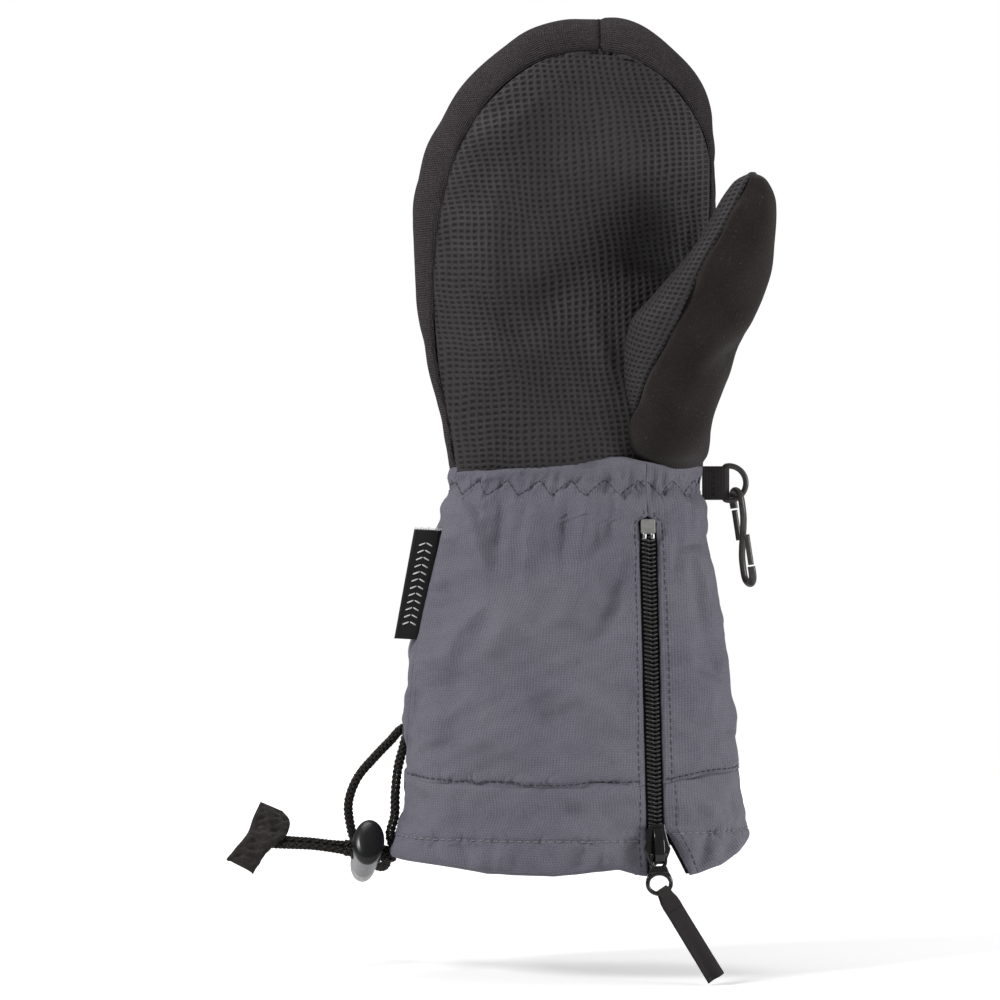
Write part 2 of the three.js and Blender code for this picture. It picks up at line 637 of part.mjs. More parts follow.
function buildDrawcord() {
  // Inside the casing, round the back of the cuff from the port to the thumb's side.
  const inset = 2.85;
  const [, left, right, depth] = stationAt(CUFF_STATIONS, PORT.z);
  const run = ring((left + right) / 2, 0, PORT.z, (right - left) / 2 - inset, depth - inset, CUFF_POWER, AROUND);
  const half = run.slice(2, AROUND / 2 - 1);
  piece('drawcord_inner_run', bar(new PolylineCurve(half), CORD_R - 0.3, half.length - 1, 4), 'cord');

  // Outside, two strands fall from the port, pass through the lock side by side and end in the tab.
  const pitch = CORD_R + 0.15;
  const through = (share, side) =>
    LOCK.clone().addScaledVector(TAIL, share).addScaledVector(LOCK_UP, side * pitch);
  const tailEnd = 35;
  const inner = [
    [-61.6, 9.5, 47], [-64.4, 5, 38], [-67.4, 2, 28], [-69, 0, 18.5], [-68.8, -0.6, 12],
  ].map((p) => new THREE.Vector3(...p));
  const outer = [
    [-62.2, 10, 50.4], [-67, 9, 45], [-73.5, 8, 38], [-79.8, 8, 30], [-82, 10.5, 20.5], [-81, 16, 11],
    [-77, 19, 2.8], [-71, 16, -1.2], [-68.2, 9.5, 0], [-68.4, 3, 3.8],
  ].map((p) => new THREE.Vector3(...p));
  const tail = (side) => [-7.5, -4, 8, tailEnd].map((share) => through(share, side));
  const strandIn = bar(spline([...inner, ...tail(1)]), CORD_R, 26, 3);
  const strandOut = bar(spline([...outer, ...tail(-1)]), CORD_R, 34, 3);
  const knot = solid(new THREE.SphereGeometry(2.2, 8, 6).translate(-62.4, 10.2, 48.8));
  const end = through(tailEnd, 0);
  const whip = solid(new THREE.SphereGeometry(2.4, 8, 6).translate(end.x, end.y, end.z));
  piece('drawcord', largest(strandIn.add(strandOut).add(knot).add(whip)), 'cord');

  // The tab is a folded scrap of suede, open where the strands enter it.
  const tab = frameAt(end, TAIL.clone().negate(), PRESS);
  const outline = [[-3, 12.5], [7.4, 6.7], [7.2, 0.8], [0.8, -5.6], [-4.1, -11.6], [-13.9, -6.6], [-8.3, 1.2]];
  const entry = box([-3.2, -2, -3.7], [12, 2, 3.7]);
  piece('cord_end_tab', largest(prismXZ(outline, -1.3, 1.3).subtract(entry)), 'suede', tab);
  buildLock();
}

function buildLock() {
  // Local axes: x along the cord, y the way the plunger stands out, z across both.
  const lock = frameAt(LOCK, TAIL.clone().negate(), PRESS);
  const oval = (halfX, halfZ) => new THREE.Shape().absellipse(0, 0, halfX, halfZ, 0, 2 * Math.PI);
  const barrelLow = -8.2;
  const barrelHigh = 7;
  const bore = oval(4.2, 7);
  const cordHole = box([-20, -2.1, -3.6], [20, 2.1, 3.6]);
  const dome = prismXZ(oval(4.6, 7.6), barrelLow - 1.4, barrelLow + 1);
  const barrel = prismXZ(oval(5.6, 8.8), barrelLow, barrelHigh)
    .add(dome)
    .subtract(prismXZ(bore, -6.8, 20))
    .subtract(cordHole);
  piece('cord_lock_barrel', barrel, 'blackPlastic', lock);
  // The plunger's window is longer than the cord is thick, by the travel and the grip.
  const window = box([-20, -2.1, -3.6], [20, 5.8, 3.6]);
  const plunger = prismXZ(oval(3.9, 6.7), -2.9, 11.4).subtract(window);
  piece('cord_lock_plunger', plunger, 'greyPlastic', lock);
  const coil = new THREE.CatmullRomCurve3(
    Array.from({ length: 17 }, (_, i) => {
      const turn = (i / 16) * 3 * 2 * Math.PI;
      return new THREE.Vector3(2.2 * Math.cos(turn), -6.2 + (i / 16) * 0.9, 2.2 * Math.sin(turn));
    }),
  );
  piece('cord_lock_spring', bar(coil, 0.2, 30, 2), 'steel', lock);
}

// ---- Wrist clip -----------------------------------------------------------------------------------------
const RING_BAR_X = 55.4; // the D-ring's straight bar, inside the strap
const RING_BOW_X = 57.1; // centre of its bow
const RING_Z = 141.2;
const RING_R = 6.3;
const WIRE_R = 1;
const STRAP_SEAM_X = 49.4;
const STRAP_HALF = 4.9;
const HOOK_HALF = 3.6;
const HOOK_WIDTH = 2;
const HOOK_THICK = 2.2;
const HOOK_TOP = -0.7; // centre of the upper bend, below the ring's wire
const HOOK_FOOT = -28.1; // centre of the lower bend
const SPINE_FROM = -8;
const SPINE_TO = -21;
const HOOK_PLACE = THREE.MathUtils.degToRad(-62); // round the ring's bow
const HOOK_LEAN = 0.15;
const HOOK_TURN = 1.2;

/** A round bar of the D-ring between two points of the XZ plane, with round ends. */
function ringBar(from, to) {
  const [a, b] = [from, to].map(([x, z]) => new THREE.Vector3(x, 0, z));
  const ball = (p) => solid(new THREE.SphereGeometry(WIRE_R, 6, 4).translate(p.x, p.y, p.z));
  return bar(new THREE.LineCurve3(a, b), WIRE_R, 1, 4).add(ball(a)).add(ball(b));
}

function buildClip() {
  // The strap in plan: two legs from the seam, round the ring's bar and back.
  const strap = new THREE.Shape();
  const fold = WIRE_R + 1.3;
  strap.moveTo(STRAP_SEAM_X, -1.1);
  strap.lineTo(RING_BAR_X, -fold);
  strap.absarc(RING_BAR_X, 0, fold, -Math.PI / 2, Math.PI / 2, false);
  strap.lineTo(STRAP_SEAM_X, 1.1);
  strap.closePath();
  strap.holes.push(new THREE.Path().absarc(RING_BAR_X, 0, WIRE_R + 0.4, 0, 2 * Math.PI, true));
  piece('clip_strap', prismXY(strap, RING_Z - STRAP_HALF, RING_Z + STRAP_HALF), 'webbing');

  const torus = new THREE.TorusGeometry(RING_R, WIRE_R, 8, 20).rotateX(Math.PI / 2);
  const bow = solid(torus.translate(RING_BOW_X, 0, RING_Z)).intersect(box([RING_BOW_X, -5, 100], [100, 5, 200]));
  const [low, high] = [RING_Z - RING_R, RING_Z + RING_R];
  const dRing = bow
    .add(ringBar([RING_BAR_X, low], [RING_BAR_X, high]))
    .add(ringBar([RING_BAR_X, low], [RING_BOW_X, low]))
    .add(ringBar([RING_BAR_X, high], [RING_BOW_X, high]));
  piece('clip_ring', dRing, 'blackPlastic');
  buildHook();
}

/** The hook's path: over the ring, down the spine from one side to the other, and round the foot. */
function hookPath() {
  const path = new THREE.Path();
  path.moveTo(-HOOK_HALF, -3.6);
  path.lineTo(-HOOK_HALF, HOOK_TOP);
  path.absarc(0, HOOK_TOP, HOOK_HALF, Math.PI, 0, true);
  path.lineTo(HOOK_HALF, SPINE_FROM);
  path.bezierCurveTo(HOOK_HALF, SPINE_FROM - 6, -HOOK_HALF, SPINE_TO + 6, -HOOK_HALF, SPINE_TO);
  path.lineTo(-HOOK_HALF, HOOK_FOOT);
  path.absarc(0, HOOK_FOOT, HOOK_HALF, Math.PI, 2 * Math.PI, false);
  path.lineTo(HOOK_HALF, HOOK_FOOT + 2.7);
  return path.getPoints(7).filter((p, i, all) => !i || p.distanceTo(all[i - 1]) > 1e-3);
}

function buildHook() {
  // The hook hangs at the lower right of the ring's bow and faces half sideways.
  const [x, z] = [Math.cos(HOOK_PLACE), Math.sin(HOOK_PLACE)].map((v) => v * RING_R);
  const wire = new THREE.Vector3(RING_BOW_X + x, 0, RING_Z + z);
  const up = new THREE.Vector3(-Math.sin(HOOK_LEAN), 0, Math.cos(HOOK_LEAN));
  const across = new THREE.Vector3(Math.cos(HOOK_TURN), -Math.sin(HOOK_TURN), 0).projectOnPlane(up).normalize();
  const hook = frameAt(wire, across, new THREE.Vector3().crossVectors(up, across));
  const half = HOOK_THICK / 2;
  piece('clip_hook', prismXZ(strokeShape(hookPath(), HOOK_WIDTH), -half, half), 'blackPlastic', hook);
  // Each gate is a straight tongue from the spine to just short of a nose.
  const gate = (name, side, low, high) =>
    piece(name, box([side * HOOK_HALF - 0.8, -0.9, low], [side * HOOK_HALF + 0.8, 0.9, high]), 'blackPlastic', hook);
  const reach = 11.2;
  gate('clip_gate_upper', -1, -4.2 - reach, -4.2);
  gate('clip_gate_lower', 1, HOOK_FOOT + 3.3, HOOK_FOOT + 3.3 + reach);
}

// ---- Label ----------------------------------------------------------------------------------------------
function buildLabel() {
  // A folded woven tab, sewn beside the little-finger seam of the cuff and standing out past it.
  const [top, foot] = [[-46.6, 123.6], [-54.9, 84.4]];
  const outline = [[top[0] - 11, top[1]], top, foot, [foot[0] - 9.4, foot[1]]];
  piece('side_label', prismXZ(outline, LABEL_Y - 0.5, LABEL_Y + 0.5), 'label');
}

buildHand();
buildThumb();
buildCuff();
buildZip();
buildDrawcord();
buildClip();
buildLabel();

assembly.position.y = -(CUFF_STATIONS[0][3] - FABRIC / 2);

export default assembly;
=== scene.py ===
"""The finished look of the ski mitten: sewn panels, stitching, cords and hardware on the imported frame."""
import math

import bpy
import numpy as np
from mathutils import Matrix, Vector


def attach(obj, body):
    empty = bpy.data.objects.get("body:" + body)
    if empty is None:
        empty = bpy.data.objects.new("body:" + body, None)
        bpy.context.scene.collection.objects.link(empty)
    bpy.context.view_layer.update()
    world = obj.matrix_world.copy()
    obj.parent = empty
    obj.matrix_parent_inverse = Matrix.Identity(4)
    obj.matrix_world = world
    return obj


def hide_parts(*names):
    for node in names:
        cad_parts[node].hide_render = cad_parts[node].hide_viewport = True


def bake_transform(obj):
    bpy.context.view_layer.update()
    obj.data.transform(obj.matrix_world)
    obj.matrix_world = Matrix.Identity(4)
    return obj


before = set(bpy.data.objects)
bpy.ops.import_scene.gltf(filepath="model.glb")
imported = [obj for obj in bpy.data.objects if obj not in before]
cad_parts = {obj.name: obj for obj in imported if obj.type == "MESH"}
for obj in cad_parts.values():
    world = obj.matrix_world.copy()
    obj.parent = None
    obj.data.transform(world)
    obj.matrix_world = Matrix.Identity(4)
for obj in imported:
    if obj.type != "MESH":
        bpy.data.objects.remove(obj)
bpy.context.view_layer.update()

MM = 0.001
ORIGIN = np.array([0.0, 33.4, 0.0])  # the frame's origin, seen from the centre of the cuff's mouth
RNG = np.random.default_rng(11)
CLOTH_SCALE = 0.01  # the cloth solver's metres for each millimetre
CLOTH_FRAMES = 20

# ---- Curves and grids, all in millimetres ----


def unit(v):
    """Vectors brought to length 1."""
    return v / np.maximum(np.linalg.norm(v, axis=-1, keepdims=True), 1e-9)


def run_of(path):
    """The distance along a path at each of its points."""
    return np.concatenate([[0], np.cumsum(np.linalg.norm(np.diff(path, axis=0), axis=1))])


def circle(count):
    """Angles evenly round a full turn, without the last."""
    return np.linspace(0, 2 * math.pi, count, endpoint=False)


def rounded(angle, power):
    """The x and y of a unit circle at angles, drawn out towards a square as the power grows."""
    c, s = np.cos(angle), np.sin(angle)
    return np.sign(c) * np.abs(c) ** (2 / power), np.sign(s) * np.abs(s) ** (2 / power)


def table_at(table, place, column=1):
    """A table's value at places between its rows."""
    t = np.array(table, float)
    return np.interp(place, t[:, 0], t[:, column])


def curve(points, count, closed=False):
    """Points spaced evenly along a smooth curve through the given ones."""
    p = np.array(points, float)
    if closed:
        p = np.vstack([p[-2:], p, p[:3]])
    t = run_of(p)
    slope = np.gradient(p, t, axis=0)
    s = np.linspace(0, 1, 24, endpoint=False)[:, None]
    dense = []
    for i, h in enumerate(np.diff(t)):
        a = (1 + 2 * s) * (1 - s) ** 2 * p[i] + s * (1 - s) ** 2 * h * slope[i]
        b = s * s * (3 - 2 * s) * p[i + 1] + s * s * (s - 1) * h * slope[i + 1]
        dense.append(a + b)
    if closed:
        dense = dense[2:-2]
    end = dense[0][:1] if closed else p[-1:]
    return resample(np.vstack([*dense, end]), count)


def resample(points, count):
    """The same run of points with an even spacing."""
    points = np.asarray(points, float)
    t = run_of(points)
    want = np.linspace(0, t[-1], count)
    return np.stack([np.interp(want, t, points[:, k]) for k in range(points.shape[1])], 1)


def enlarge(grid, rows, cols):
    """A finer grid through a coarse one, by cubic interpolation along both axes."""

    def along(g, n):
        t = np.linspace(0, len(g) - 1, n)
        i = np.clip(t.astype(int), 0, len(g) - 2)
        s = (t - i)[:, None, None]
        at = lambda k: g[np.clip(i + k, 0, len(g) - 1)]
        a, b, c, d = at(-1), at(0), at(1), at(2)
        return b + 0.5 * s * (c - a + s * (2 * a - 5 * b + 4 * c - d + s * (3 * (b - c) + d - a)))

    fine = along(grid, rows)
    return along(fine.transpose(1, 0, 2), cols).transpose(1, 0, 2)


def normals(grid):
    """Unit normals of a grid, to the left of its columns' direction as its rows run."""
    return unit(np.cross(np.gradient(grid, axis=1), np.gradient(grid, axis=0)))


def push(grid, amount):
    """A grid moved out along its normals."""
    return grid + normals(grid) * amount[..., None]


def lengths(grid):
    """Distance along the rows and along the columns at every point of a grid."""
    du = np.linalg.norm(np.diff(grid, axis=1), axis=2)
    dv = np.linalg.norm(np.diff(grid, axis=0), axis=2)
    across = np.concatenate([np.zeros((len(grid), 1)), np.cumsum(du, 1)], 1)
    up = np.concatenate([np.zeros((1, grid.shape[1])), np.cumsum(dv, 0)], 0)
    return across, up


def edge_distance(grid, low=True, high=True):
    """How far each point lies from its nearest edge; the low or the high edge can be left out."""
    across, up = lengths(grid)
    far = np.minimum(across, across[:, -1:] - across)
    if low:
        far = np.minimum(far, up)
    if high:
        far = np.minimum(far, up[-1:] - up)
    return far


def noise(points, size, seed=0):
    """Smooth noise between about -1 and 1 at points, with features of one size."""
    rng = np.random.default_rng(seed)
    total = np.zeros(points.shape[:-1])
    for _ in range(14):
        way = rng.normal(size=3)
        way *= rng.uniform(0.6, 1.4) * 2 * math.pi / (size * np.linalg.norm(way))
        total += np.sin(points @ way + rng.uniform(0, 2 * math.pi))
    return total / 3.2


# ---- Meshes ----


def finish(name, verts, faces, look, body, replaces=(), uv=None):
    """A named piece made from points in millimetres, on a CAD body; X_look stands for the CAD's X."""
    mesh = bpy.data.meshes.new(name)
    placed = (np.asarray(verts) - ORIGIN) * MM
    mesh.from_pydata(placed.tolist(), [], [list(map(int, f)) for f in faces])
    if uv is not None:
        layer = mesh.uv_layers.new(name="cloth")
        loops = np.zeros(len(mesh.loops), int)
        mesh.loops.foreach_get("vertex_index", loops)
        layer.data.foreach_set("uv", np.asarray(uv)[loops].ravel())
    mesh.polygons.foreach_set("use_smooth", [True] * len(mesh.polygons))
    mesh.materials.append(MATERIAL[look])
    obj = bpy.data.objects.new(name, mesh)
    bpy.context.scene.collection.objects.link(obj)
    if isinstance(body, tuple):
        mesh.update()
        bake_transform(obj)
    else:
        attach(obj, body)
    plain = name.removesuffix("_look")
    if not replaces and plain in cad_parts:
        replaces = [plain]
    if replaces:
        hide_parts(*replaces)
    return obj


def grid_faces(rows, cols, start=0, wrap=False):
    """The quads of a grid whose points run row by row."""
    i, j = np.meshgrid(np.arange(rows - 1), np.arange(cols if wrap else cols - 1), indexing="ij")
    a = i * cols + j
    b = i * cols + (j + 1) % cols
    return np.stack([a, b, b + cols, a + cols], -1).reshape(-1, 4) + start


def bar_faces(rows, around, start=0):
    """The faces of a solid bar whose sections run row by row."""
    last = start + (rows - 1) * around
    ends = [tuple(range(start + around - 1, start - 1, -1)), tuple(range(last, last + around))]
    return [tuple(f) for f in grid_faces(rows, around, start, wrap=True)] + ends


def sheet(name, grid, thick, look, body, replaces=()):
    """A closed piece of fabric: the grid is its face, and its back lies deeper by its thickness."""
    rows, cols = grid.shape[:2]
    back = grid - normals(grid) * thick
    verts = np.vstack([grid.reshape(-1, 3), back.reshape(-1, 3)])
    n = rows * cols
    index = np.arange(n).reshape(rows, cols)
    rim = np.concatenate([index[0, :-1], index[:-1, -1], index[-1, :0:-1], index[:0:-1, 0]])
    turn = np.roll(rim, -1)
    wall = np.stack([rim, rim + n, turn + n, turn], 1)
    faces = np.vstack([grid_faces(rows, cols), grid_faces(rows, cols, n)[:, ::-1], wall])
    uv = np.stack(lengths(grid), -1).reshape(-1, 2) * 0.01
    return finish(name, verts, faces, look, body, replaces, np.vstack([uv, uv]))


def carried(path):
    """Two directions square to a path, carried along it without a twist."""
    along = unit(np.gradient(path, axis=0))
    side = np.zeros_like(path)
    side[0] = unit(np.cross(along[0], [0.3, 0.9, 0.2]))
    for i in range(1, len(path)):
        side[i] = unit(side[i - 1] - along[i] * side[i - 1].dot(along[i]))
    return side, np.cross(along, side)


def tube(name, path, radius, look, body, around=12, shape=None, replaces=()):
    """A round bar along a path with closed ends; shape(angle, distance) adds to its radius."""
    path = np.asarray(path, float)
    side, other = carried(path)
    angle = circle(around)
    dist = run_of(path)
    r = radius + (shape(angle[None], dist[:, None]) if shape else 0) * np.ones((len(path), around))
    turn = angle[None, :, None]
    ring = path[:, None] + r[..., None] * (np.cos(turn) * side[:, None] + np.sin(turn) * other[:, None])
    verts = np.vstack([ring.reshape(-1, 3), path[:1], path[-1:]])
    faces = [tuple(f) for f in grid_faces(len(path), around, wrap=True)]
    last = (len(path) - 1) * around
    for k in range(around):
        m = (k + 1) % around
        faces.append((m, k, last + around))
        faces.append((last + k, last + m, last + around + 1))
    uv = np.stack(np.broadcast_arrays(angle[None] * radius, dist[:, None]), -1).reshape(-1, 2) * 0.01
    return finish(name, verts, faces, look, body, replaces, np.vstack([uv, uv[:1], uv[-1:]]))


def capsules(name, ends, radius, look, body):
    """Many short round-ended bars as one piece: the stitches of a seam. ends is (count, 2, 3)."""
    verts, faces = [], []
    sides = 6
    turn = circle(sides)[:, None]
    for a, b in ends:
        u = unit(np.cross(unit(b - a), [0.31, 0.22, 0.93]))
        w = np.cross(unit(b - a), u)
        start = len(verts)
        verts.append(a)
        for share, wide in ((-0.42, 0.75), (-0.2, 1.0), (0.2, 1.0), (0.42, 0.75)):
            middle = (a + b) / 2 + (b - a) * share
            verts.extend(middle + radius * wide * (np.cos(turn) * u + np.sin(turn) * w))
        verts.append(b)
        ring = lambda r, k: start + 1 + r * sides + k % sides
        last = start + 1 + 4 * sides
        for k in range(sides):
            faces.append((start, ring(0, k + 1), ring(0, k)))
            faces.append((last, ring(3, k), ring(3, k + 1)))
        faces += [tuple(f) for f in grid_faces(4, sides, start + 1, wrap=True)]
    return finish(name, verts, faces, look, body)


def stitch_ends(path, pitch, length):
    """The two ends of every stitch along a path."""
    total = np.sum(np.linalg.norm(np.diff(path, axis=0), axis=1))
    count = max(int(total / pitch), 1)
    fine = resample(path, count * 20 + 1)
    half = int(round(10 * length / pitch))
    middle = np.arange(count) * 20 + 10
    return np.stack([fine[middle - half], fine[middle + half]], 1)


def soften(field, times):
    """A field of vectors over a grid, averaged with its neighbours; the edges stay."""
    for _ in range(times):
        around = field[:-2, 1:-1] + field[2:, 1:-1] + field[1:-1, :-2] + field[1:-1, 2:]
        inner = 0.5 * field[1:-1, 1:-1] + 0.125 * around
        field = field.copy()
        field[1:-1, 1:-1] = inner
    return field


def puff(grid, pressure, growth, bend=0.6, limit=2.5, smooth=3):
    """Runs the cloth solver on a patch whose edges stay put, and gives the shape it takes."""
    rows, cols = grid.shape[:2]
    mesh = bpy.data.meshes.new("trial")
    mesh.from_pydata((grid.reshape(-1, 3) * CLOTH_SCALE).tolist(), [], grid_faces(rows, cols).tolist())
    obj = bpy.data.objects.new("trial", mesh)
    scene = bpy.context.scene
    scene.collection.objects.link(obj)
    inner = np.arange(rows * cols).reshape(rows, cols)[1:-1, 1:-1]
    pinned = np.setdiff1d(np.arange(rows * cols), inner)
    obj.vertex_groups.new(name="pin").add(pinned.tolist(), 1.0, "REPLACE")
    cloth = obj.modifiers.new("cloth", "CLOTH")
    settings = {"quality": 6, "mass": 0.2, "tension_stiffness": 15, "compression_stiffness": 15,
                "shear_stiffness": 5, "bending_stiffness": bend, "vertex_group_mass": "pin",
                "shrink_min": -growth, "use_pressure": True, "uniform_pressure_force": pressure}
    for key, value in settings.items():
        setattr(cloth.settings, key, value)
    cloth.settings.effector_weights.gravity = 0
    cloth.point_cache.frame_start = 1
    cloth.point_cache.frame_end = CLOTH_FRAMES
    for step in range(1, CLOTH_FRAMES + 1):
        scene.frame_set(step)
    shown = obj.evaluated_get(bpy.context.evaluated_depsgraph_get())
    out = np.zeros(rows * cols * 3)
    shown.data.vertices.foreach_get("co", out)
    scene.frame_set(1)
    bpy.data.objects.remove(obj)
    move = soften(out.reshape(rows, cols, 3) / CLOTH_SCALE - grid, smooth)
    reach = np.linalg.norm(move, axis=2, keepdims=True)
    return grid + move * np.minimum(1, limit / np.maximum(reach, 1e-6))


def padded(coarse, rows, cols, pressure, growth, limit=2.5):
    """A patch that is puffed between its edges, as a finer grid."""
    return enlarge(puff(coarse, pressure, growth, limit=limit), rows, cols)


# ---- The hand's form ----
# Outlines are x and z pairs that run from the wrist up to the fingertips.
DOME_Z = 250.0
TIP_Z = 309.6
BACK_SEAM_Y = 1.5  # the seam between the bands and the back, before the fingers curl
BAND_LEFT = [
    (-43.5, 141), (-47.5, 164), (-52.9, 189), (-56.2, 210), (-57.2, 228), (-55.8, 250), (-52.5, 262),
    (-47.5, 272), (-41, 283), (-33.1, 291.6), (-24, 299), (-15.1, 304.9), (-3, 308.9), (10.1, 309.6)
]
BAND_RIGHT = [
    (48.2, 141), (49.4, 164), (50.6, 189), (51.8, 225), (52.9, 247), (51.5, 268), (47.9, 284.4),
    (43.6, 291.5), (38.9, 297), (32, 303), (24.5, 307.1), (17, 309.2), (10.1, 309.6)
]
PALM_LEFT = [
    (-42, 141), (-43.9, 156.6), (-49, 185.4), (-50.3, 210.6), (-49.6, 225), (-47.5, 239.4), (-44.8, 251),
    (-40.3, 262.8), (-29.5, 279), (-21, 286.6), (-11.5, 292), (-2, 294.4), (10.1, 294.8)
]
PALM_RIGHT = [
    (46.5, 141), (47.3, 164), (48.3, 189), (49.8, 225), (50.8, 245), (50, 261), (47.2, 269),
    (42.5, 276.4), (36, 284), (28.1, 289.9), (19, 293.6), (10.1, 294.8)
]


def curl(z):
    """How far the fingers bend towards the palm at a height."""
    return -0.0009 * np.maximum(z - 180.0, 0.0) ** 2


def outline_x(outline, z):
    """The x of an outline at a height."""
    p = curve(outline, 400)
    return np.interp(z, np.maximum.accumulate(p[:, 1]), p[:, 0])


def half_depth(z, table):
    """Half the hand's depth at a height, closing to nothing at the fingertips."""
    share = np.clip((z - DOME_Z) / (TIP_Z - DOME_Z), 0.0, 1.0)
    return table_at(table, z) * (1 - share**2) ** 0.42


PALM_DEPTH = [(140, 19.5), (146, 21.5), (152, 24), (170, 26.5), (190, 27), (225, 26), (250, 25), (300, 25)]
BACK_DEPTH = [(140, 19.5), (146, 21.5), (152, 24), (170, 26.5), (200, 27.5), (250, 26), (300, 26)]


def palm_y(x, z):
    """The y of the palm's surface."""
    left = outline_x(BAND_LEFT, z)
    right = outline_x(BAND_RIGHT, z)
    share = np.abs(x - (left + right) / 2) / ((right - left) / 2)
    rise = (1 - np.clip(share, 0, 0.985) ** 2.4) ** (1 / 2.4)
    behind_thumb = np.clip((x - 11) / 12, 0, 1) * np.clip((170 - z) / 16, 0, 1)
    return curl(z) - half_depth(z, PALM_DEPTH) * rise * (1 - 0.27 * behind_thumb)


def seam_roll(distance, depth=0.75, width=1.0):
    """How far fabric turns under beside a seam."""
    return depth * np.exp(-((distance / width) ** 2))


def side_curves(left, right, rows):
    """Both outlines of a panel as rows of points; at the fingertips they all but meet."""
    left, right = curve(left, rows), curve(right, rows)
    right[-1] = left[-1] + [0.6, 0]
    return left[:, None], right[:, None]


def palm_grid(rows, cols):
    """The palm between its seams, before it puffs."""
    left, right = side_curves(PALM_LEFT, PALM_RIGHT, rows)
    u = np.linspace(0, 1, cols)[None, :, None]
    x, z = np.moveaxis(left * (1 - u) + right * u, -1, 0)
    return np.dstack([x, palm_y(x, z), z])


def band_grid(rows, cols, side):
    """The gusset round one side of the fingers, from the palm's seam to the back's seam."""
    x, z = curve(PALM_LEFT if side < 0 else PALM_RIGHT, rows).T
    a = np.stack([x, palm_y(x, z), z], 1)[:, None]
    x, z = curve(BAND_LEFT if side < 0 else BAND_RIGHT, rows).T
    b = np.stack([x, curl(z) + BACK_SEAM_Y, z], 1)[:, None]
    q = np.linspace(0, 1, cols)[None, :, None] * math.pi / 2
    flat = a + (b - a) * np.sin(q)
    deep = a + (b - a) * (1 - np.cos(q))
    grid = np.dstack([flat[..., 0], deep[..., 1], flat[..., 2]])
    return grid if side > 0 else grid[:, ::-1]


def back_grid(rows, cols):
    """The back of the hand between its seams, before it puffs."""
    left, right = side_curves(BAND_LEFT, BAND_RIGHT, rows)
    t = -np.cos(np.linspace(0, math.pi, cols))[None, :, None]
    x, z = np.moveaxis((left + right) / 2 + (right - left) / 2 * t, -1, 0)
    rise = (1 - np.abs(t[..., 0]) ** 2.3).clip(0) ** (1 / 2.3)
    return np.dstack([x, curl(z) + BACK_SEAM_Y + half_depth(z, BACK_DEPTH) * rise, z])[:, ::-1]


# ---- The thumb's form ----
# Height, left and right edges seen from the palm, centre y, half depth.
THUMB = [
    (141, 16.8, 43, -2.5, 10), (144, 16.9, 44.6, -3.8, 12), (146.5, 17.1, 46, -4.6, 13),
    (149, 17.4, 48.5, -6.8, 14.2), (152, 18, 49.4, -9.2, 15.3), (157, 18.6, 50.3, -12.2, 16.4),
    (164, 19, 51.8, -15.5, 17.5), (176, 18, 55, -20.5, 18), (189, 19, 59.9, -24.5, 18),
    (199.8, 22, 64.1, -28, 17.6), (207, 28.5, 67.4, -31, 17), (214, 34.5, 69.4, -34.5, 16),
    (221, 40, 70.6, -37.2, 15), (228.6, 45.2, 71.2, -39.6, 13.8), (236, 49.6, 71.3, -41.6, 12.2),
    (243, 53.6, 70.4, -43.2, 9.8), (247.5, 57, 68.2, -44.2, 7.4), (250.6, 62, 64.4, -44.8, 3)
]
THUMB_PALM_SEAM = [
    (141, 17), (151.4, 17.9), (158, 19.8), (164.2, 20.8), (167.9, 22.5), (180.3, 27.4), (193.5, 34.9),
    (208.4, 41.5), (219.1, 46.4), (229.1, 51.4), (238.1, 56.4), (244.8, 59.7), (250.6, 63.2)
]


THUMB_TIP_Z = 250.6
THUMB_BACK_SEAM = math.radians(62)  # where its two panels meet behind it


def thumb_ring(z):
    """The thumb's section at heights: centre x, centre y, half width, half depth."""
    t = curve(THUMB, 500)
    left, right, y, deep = (np.interp(z, t[:, 0], t[:, k]) for k in (1, 2, 3, 4))
    return (left + right) / 2, y, (right - left) / 2, deep


def thumb_front_angle(z):
    """The angle of the seam that faces the viewer of the palm."""
    h, x = curve(THUMB_PALM_SEAM, 300).T
    xc, _, half, _ = thumb_ring(z)
    return 2 * math.pi - np.arccos(np.clip((np.interp(z, h, x) - xc) / half, -0.995, 0.9))


def thumb_heights(rows, low=141.0):
    """Heights up the thumb, closer together towards its tip."""
    t = np.linspace(0, 1, rows)
    return low + (THUMB_TIP_Z - low) * (1 - (1 - t) ** 1.35)


def thumb_grid(rows, cols, palm_side):
    """One of the thumb's two panels, from seam to seam."""
    z = thumb_heights(rows)
    xc, yc, half, deep = thumb_ring(z)
    start, end = thumb_front_angle(z), np.full(rows, THUMB_BACK_SEAM)
    if palm_side:
        start, end = end, start
    else:
        end = end + 2 * math.pi
    u = np.linspace(0, 1, cols)[None]
    px, py = rounded(start[:, None] + (end - start)[:, None] * u, 2.15)
    x = xc[:, None] + half[:, None] * px
    y = yc[:, None] + deep[:, None] * py
    return np.dstack([x, y, np.broadcast_to(z[:, None], x.shape)])


# ---- Materials ----
PIT_PITCH = (2.62, 2.02)  # between the grip's pits, across and up
PIT_SIZE = (0.78, 0.52)


